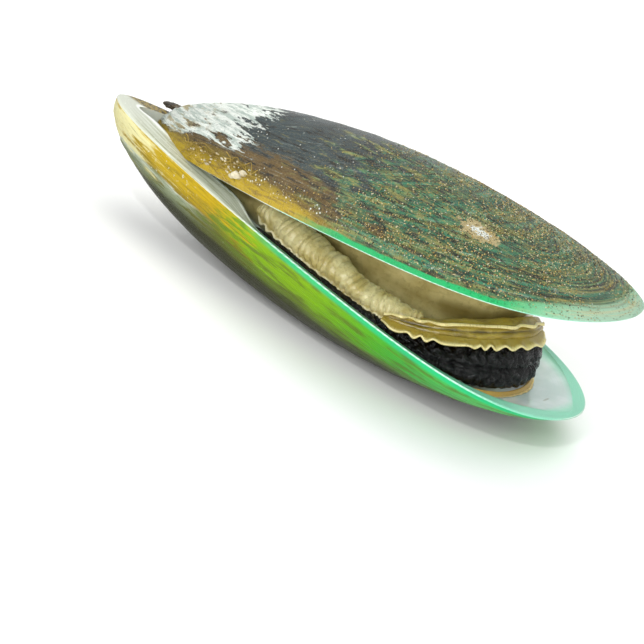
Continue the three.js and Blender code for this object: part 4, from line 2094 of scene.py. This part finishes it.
def dark_relief(run: Array, angle: Array) -> Array:
    """Deep crowded folds of the black border, fading to a thin smooth edge in front.

    Args:
        run: Millimetres along the path.
        angle: Angle round the section.

    Returns:
        Height over the skin, in millimetres.
    """
    growth = smooth_step(run, 8.0, 40.0)
    phase = run / 2.1 + 1.1 * Unevenness(48).at(run / 2.5, angle * 1.6) + 0.8 * np.sin(angle)
    folds = np.abs(np.sin(math.pi * phase)) ** 0.7 - 0.7
    nubs = Unevenness(49).at(run * 1.2, angle * 3.0)
    groove = np.exp(-(((angle - 3.05) / 0.09) ** 2)) * 0.9
    low_edge = np.exp(-(((angle - 4.4) / 0.5) ** 2))
    top_edge = np.exp(-(((angle - 2.3) / 0.45) ** 2)) * (1.0 - smooth_step(run, 45.0, 56.0))
    fold_depth = (0.2 + 0.5 * growth) * (0.8 + 0.5 * low_edge)
    hollows = (groove + 1.3 * low_edge + 0.7 * top_edge) * growth
    return fold_depth * folds + (0.08 + 0.14 * growth) * nubs - hollows


def ligament_relief(run: Array, angle: Array) -> Array:
    """Torn, fibrous surface of the ligament."""
    return 0.32 * Unevenness(50).at(run * 0.9, angle * 2.0) + 0.1 * Unevenness(51).at(run * 3.0, angle * 5.0)


@dataclass
class Meat:
    """The cooked animal: mantle body, gill band, yellow and black mantle borders with their frills."""

    workshop: Workshop
    groups: ShaderGroups

    def build(self) -> list[bpy.types.Object]:
        """Makes every piece of the meat."""
        lofts = self._lofts()
        _, gill, yellow, dark = lofts
        return [loft.build() for loft in lofts] + [r.build() for r in self._ribbons(gill, yellow, dark)]

    def _lofts(self) -> list[Loft]:
        """The four thick bodies, not yet made."""
        return [
            Loft(
                "mantle", "mantle_body", "mantle", MANTLE_KEYS, self.workshop,
                MeatFinish("mantle flesh", "#D2C284", "#B09E60", "#7A682C", grain=700.0,
                           bump=0.0002).build(self.groups),
                180, 96, relief=body_relief,
            ),
            Loft(
                "gills", "gill_band", "gill", GILL_KEYS, self.workshop,
                MeatFinish("gill", "#D6CC96", "#B8A866", "#6E5E26", grain=1500.0).build(self.groups),
                420, 40, relief=gill_relief,
            ),
            Loft(
                "yellow_border", "yellow_mantle_margin", "yellow_margin", YELLOW_KEYS, self.workshop,
                MeatFinish("yellow border flesh", "#A48E2C", "#867420", "#4C3F10",
                           coat=0.5).build(self.groups),
                260, 48, relief=yellow_relief,
            ),
            Loft(
                "black_border", "dark_mantle_margin", "dark_margin", DARK_KEYS, self.workshop,
                MeatFinish("black border flesh", "#050605", "#030303", "#010101", roughness=0.14, coat=0.0,
                           subsurface=0.0, bump=0.0005, grain=1300.0, specular=0.3).build(self.groups),
                620, 64, relief=dark_relief,
            ),
        ]

    def _ribbons(self, gill: Loft, yellow: Loft, dark: Loft) -> list[Ribbon]:
        """The ruffled edges that stand on the bodies, not yet made.

        Args:
            gill: The gill band.
            yellow: The yellow border.
            dark: The black border.

        Returns:
            The ribbons.
        """
        gold = FrillFinish("frill", "#A08A38", "#EAD898").build(self.groups)
        hem = FrillFinish("gill hem", "#A8985A", "#E4DAB0").build(self.groups)
        amber = FrillFinish("golden frill", "#B0903A", "#F2D890").build(self.groups)
        return [
            Ribbon(
                "upper_ruffle", "yellow_margin", yellow, gold, math.radians(135), (0.0, 0.97),
                reach=1.2, thickness=0.3, border=0.26,
                wave_length=6.2, wave_height=0.5, scallop=0.5, droop=-0.1, seed=12,
            ),
            Ribbon(
                "lower_frill", "yellow_margin", yellow, gold, math.radians(203), (0.0, 0.99),
                reach=2.6, thickness=0.16, border=0.17,
                wave_length=3.0, wave_height=0.4, scallop=0.1, droop=-0.4, seed=13,
            ),
            Ribbon(
                "golden_frill", "dark_margin", dark, amber, math.radians(236), (0.4, 0.97),
                reach=1.9, thickness=0.5, border=0.3,
                wave_length=2.4, wave_height=0.35, scallop=0.12, droop=0.1, seed=14,
            ),
            Ribbon(
                "gill_hem", "gill", gill, hem, math.radians(225), (0.03, 0.96),
                reach=1.2, thickness=0.14, border=0.1,
                wave_length=2.2, wave_height=0.3, scallop=0.3, droop=0.2, seed=15,
            ),
        ]


# ---------------------------------------------------------------- studio
@dataclass(frozen=True)
class Softbox:
    """A square light that faces the shell, with its place and size in metres."""

    name: str
    place: tuple[float, float, float]
    size: float
    power: float

    def build(self) -> None:
        """Makes the light."""
        data = bpy.data.lights.new(self.name, "AREA")
        data.energy, data.size = self.power, self.size
        light = bpy.data.objects.new(self.name, data)
        light.location = self.place
        light.rotation_euler = (-Vector(self.place)).to_track_quat("-Z", "Y").to_euler()
        bpy.context.scene.collection.objects.link(light)


@dataclass(frozen=True)
class Studio:
    """Plain floor, soft light and the camera."""

    lights: tuple[Softbox, ...] = (
        Softbox("key light", (-0.1, 0.22, 0.87), 1.0, 4.8),
        Softbox("front light", (0.15, -0.85, 0.36), 0.5, 5.0),
        Softbox("sparkle light", (0.1, -0.62, 0.6), 0.06, 1.6),
    )
    surroundings: float = 0.66
    floor_half_width: float = 3.0
    floor_colour: Colour = (0.93, 0.94, 0.93, 1.0)
    floor_roughness: float = 0.9
    azimuth: float = 22.478
    elevation: float = 21.873
    roll: float = -20.987
    distance: float = 0.602
    lens: float = 180.3
    sensor: float = 36.0
    aim: tuple[float, float, float] = (-0.00008, 0.0, 0.00097)

    def build(self) -> None:
        """Makes the floor, the lights, the surroundings and the camera."""
        self._floor()
        self._surroundings()
        for light in self.lights:
            light.build()
        self._camera()

    def _floor(self) -> None:
        """A wide pale sheet just under the shell."""
        mesh = bpy.data.meshes.new("floor")
        half = self.floor_half_width
        corners = [(-half, -half, 0), (half, -half, 0), (half, half, 0), (-half, half, 0)]
        mesh.from_pydata(corners, [], [(0, 1, 2, 3)])
        floor = bpy.data.objects.new("floor", mesh)
        bpy.context.scene.collection.objects.link(floor)
        material = bpy.data.materials.new("floor paint")
        material.use_nodes = True
        shader = material.node_tree.nodes["Principled BSDF"]
        shader.inputs["Base Color"].default_value = self.floor_colour
        shader.inputs["Roughness"].default_value = self.floor_roughness
        mesh.materials.append(material)

    def _surroundings(self) -> None:
        """Even white light from all round."""
        world = bpy.data.worlds.new("studio walls")
        world.use_nodes = True
        world.node_tree.nodes["Background"].inputs["Color"].default_value = (1.0, 1.0, 1.0, 1.0)
        world.node_tree.nodes["Background"].inputs["Strength"].default_value = self.surroundings
        bpy.context.scene.world = world
        bpy.context.scene.view_settings.view_transform = "Standard"

    def _camera(self) -> None:
        """The camera, aimed at the middle of the underside and rolled with the shell's lean."""
        azimuth, elevation, roll = (math.radians(a) for a in (self.azimuth, self.elevation, self.roll))
        look = Vector((-math.sin(azimuth) * math.cos(elevation), math.cos(azimuth) * math.cos(elevation),
                       -math.sin(elevation)))
        level = Vector((math.cos(azimuth), math.sin(azimuth), 0.0))
        up = level.cross(look) * math.cos(roll) + level * math.sin(roll)
        right = look.cross(up)
        data = bpy.data.cameras.new("camera")
        data.lens, data.sensor_width = self.lens, self.sensor
        data.clip_start, data.clip_end = 0.05, 20.0
        camera = bpy.data.objects.new("camera", data)
        turned = Matrix((right, up, -look)).transposed()
        camera.matrix_world = Matrix.Translation(Vector(self.aim) - look * self.distance) @ turned.to_4x4()
        bpy.context.scene.collection.objects.link(camera)
        bpy.context.scene.camera = camera


def main() -> None:
    """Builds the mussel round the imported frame."""
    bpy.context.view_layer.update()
    Studio().build()
    workshop = Workshop(ValveForm(), Lie())
    groups = ShaderGroups.shared()
    lower_finishes = (LowerOutside(), ShellLip("lower lip"), Nacre("lower nacre"))
    lower = ShellValve(Side.LOWER, workshop, [f.build(groups) for f in lower_finishes], seed=5).build()
    upper_finishes = (UpperOutside(), ShellLip("upper lip"), Nacre("upper nacre"))
    upper = ShellValve(Side.UPPER, workshop, [f.build(groups) for f in upper_finishes], seed=9).build()
    for piece, node, slot in ((lower, "lower_valve", "lower_shell"), (upper, "upper_valve", "upper_shell")):
        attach(piece, BODY)
        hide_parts(node)
    ligament = Loft(
        "ligament", "hinge_ligament", "ligament", LIGAMENT_KEYS, workshop,
        MeatFinish("ligament", "#1B150F", "#4A3A14", "#0A0806", coat=0.3, subsurface=0.0,
                   grain=2400.0).build(groups),
        160, 40, enclosed=False, round_ends=0.2, relief=ligament_relief,
    ).build()
    litter = ShellLitter(workshop, upper).build()
    for piece in [lower, upper, ligament, *litter, *Meat(workshop, groups).build()]:
        report(piece)


if __name__ == "__main__":
    main()
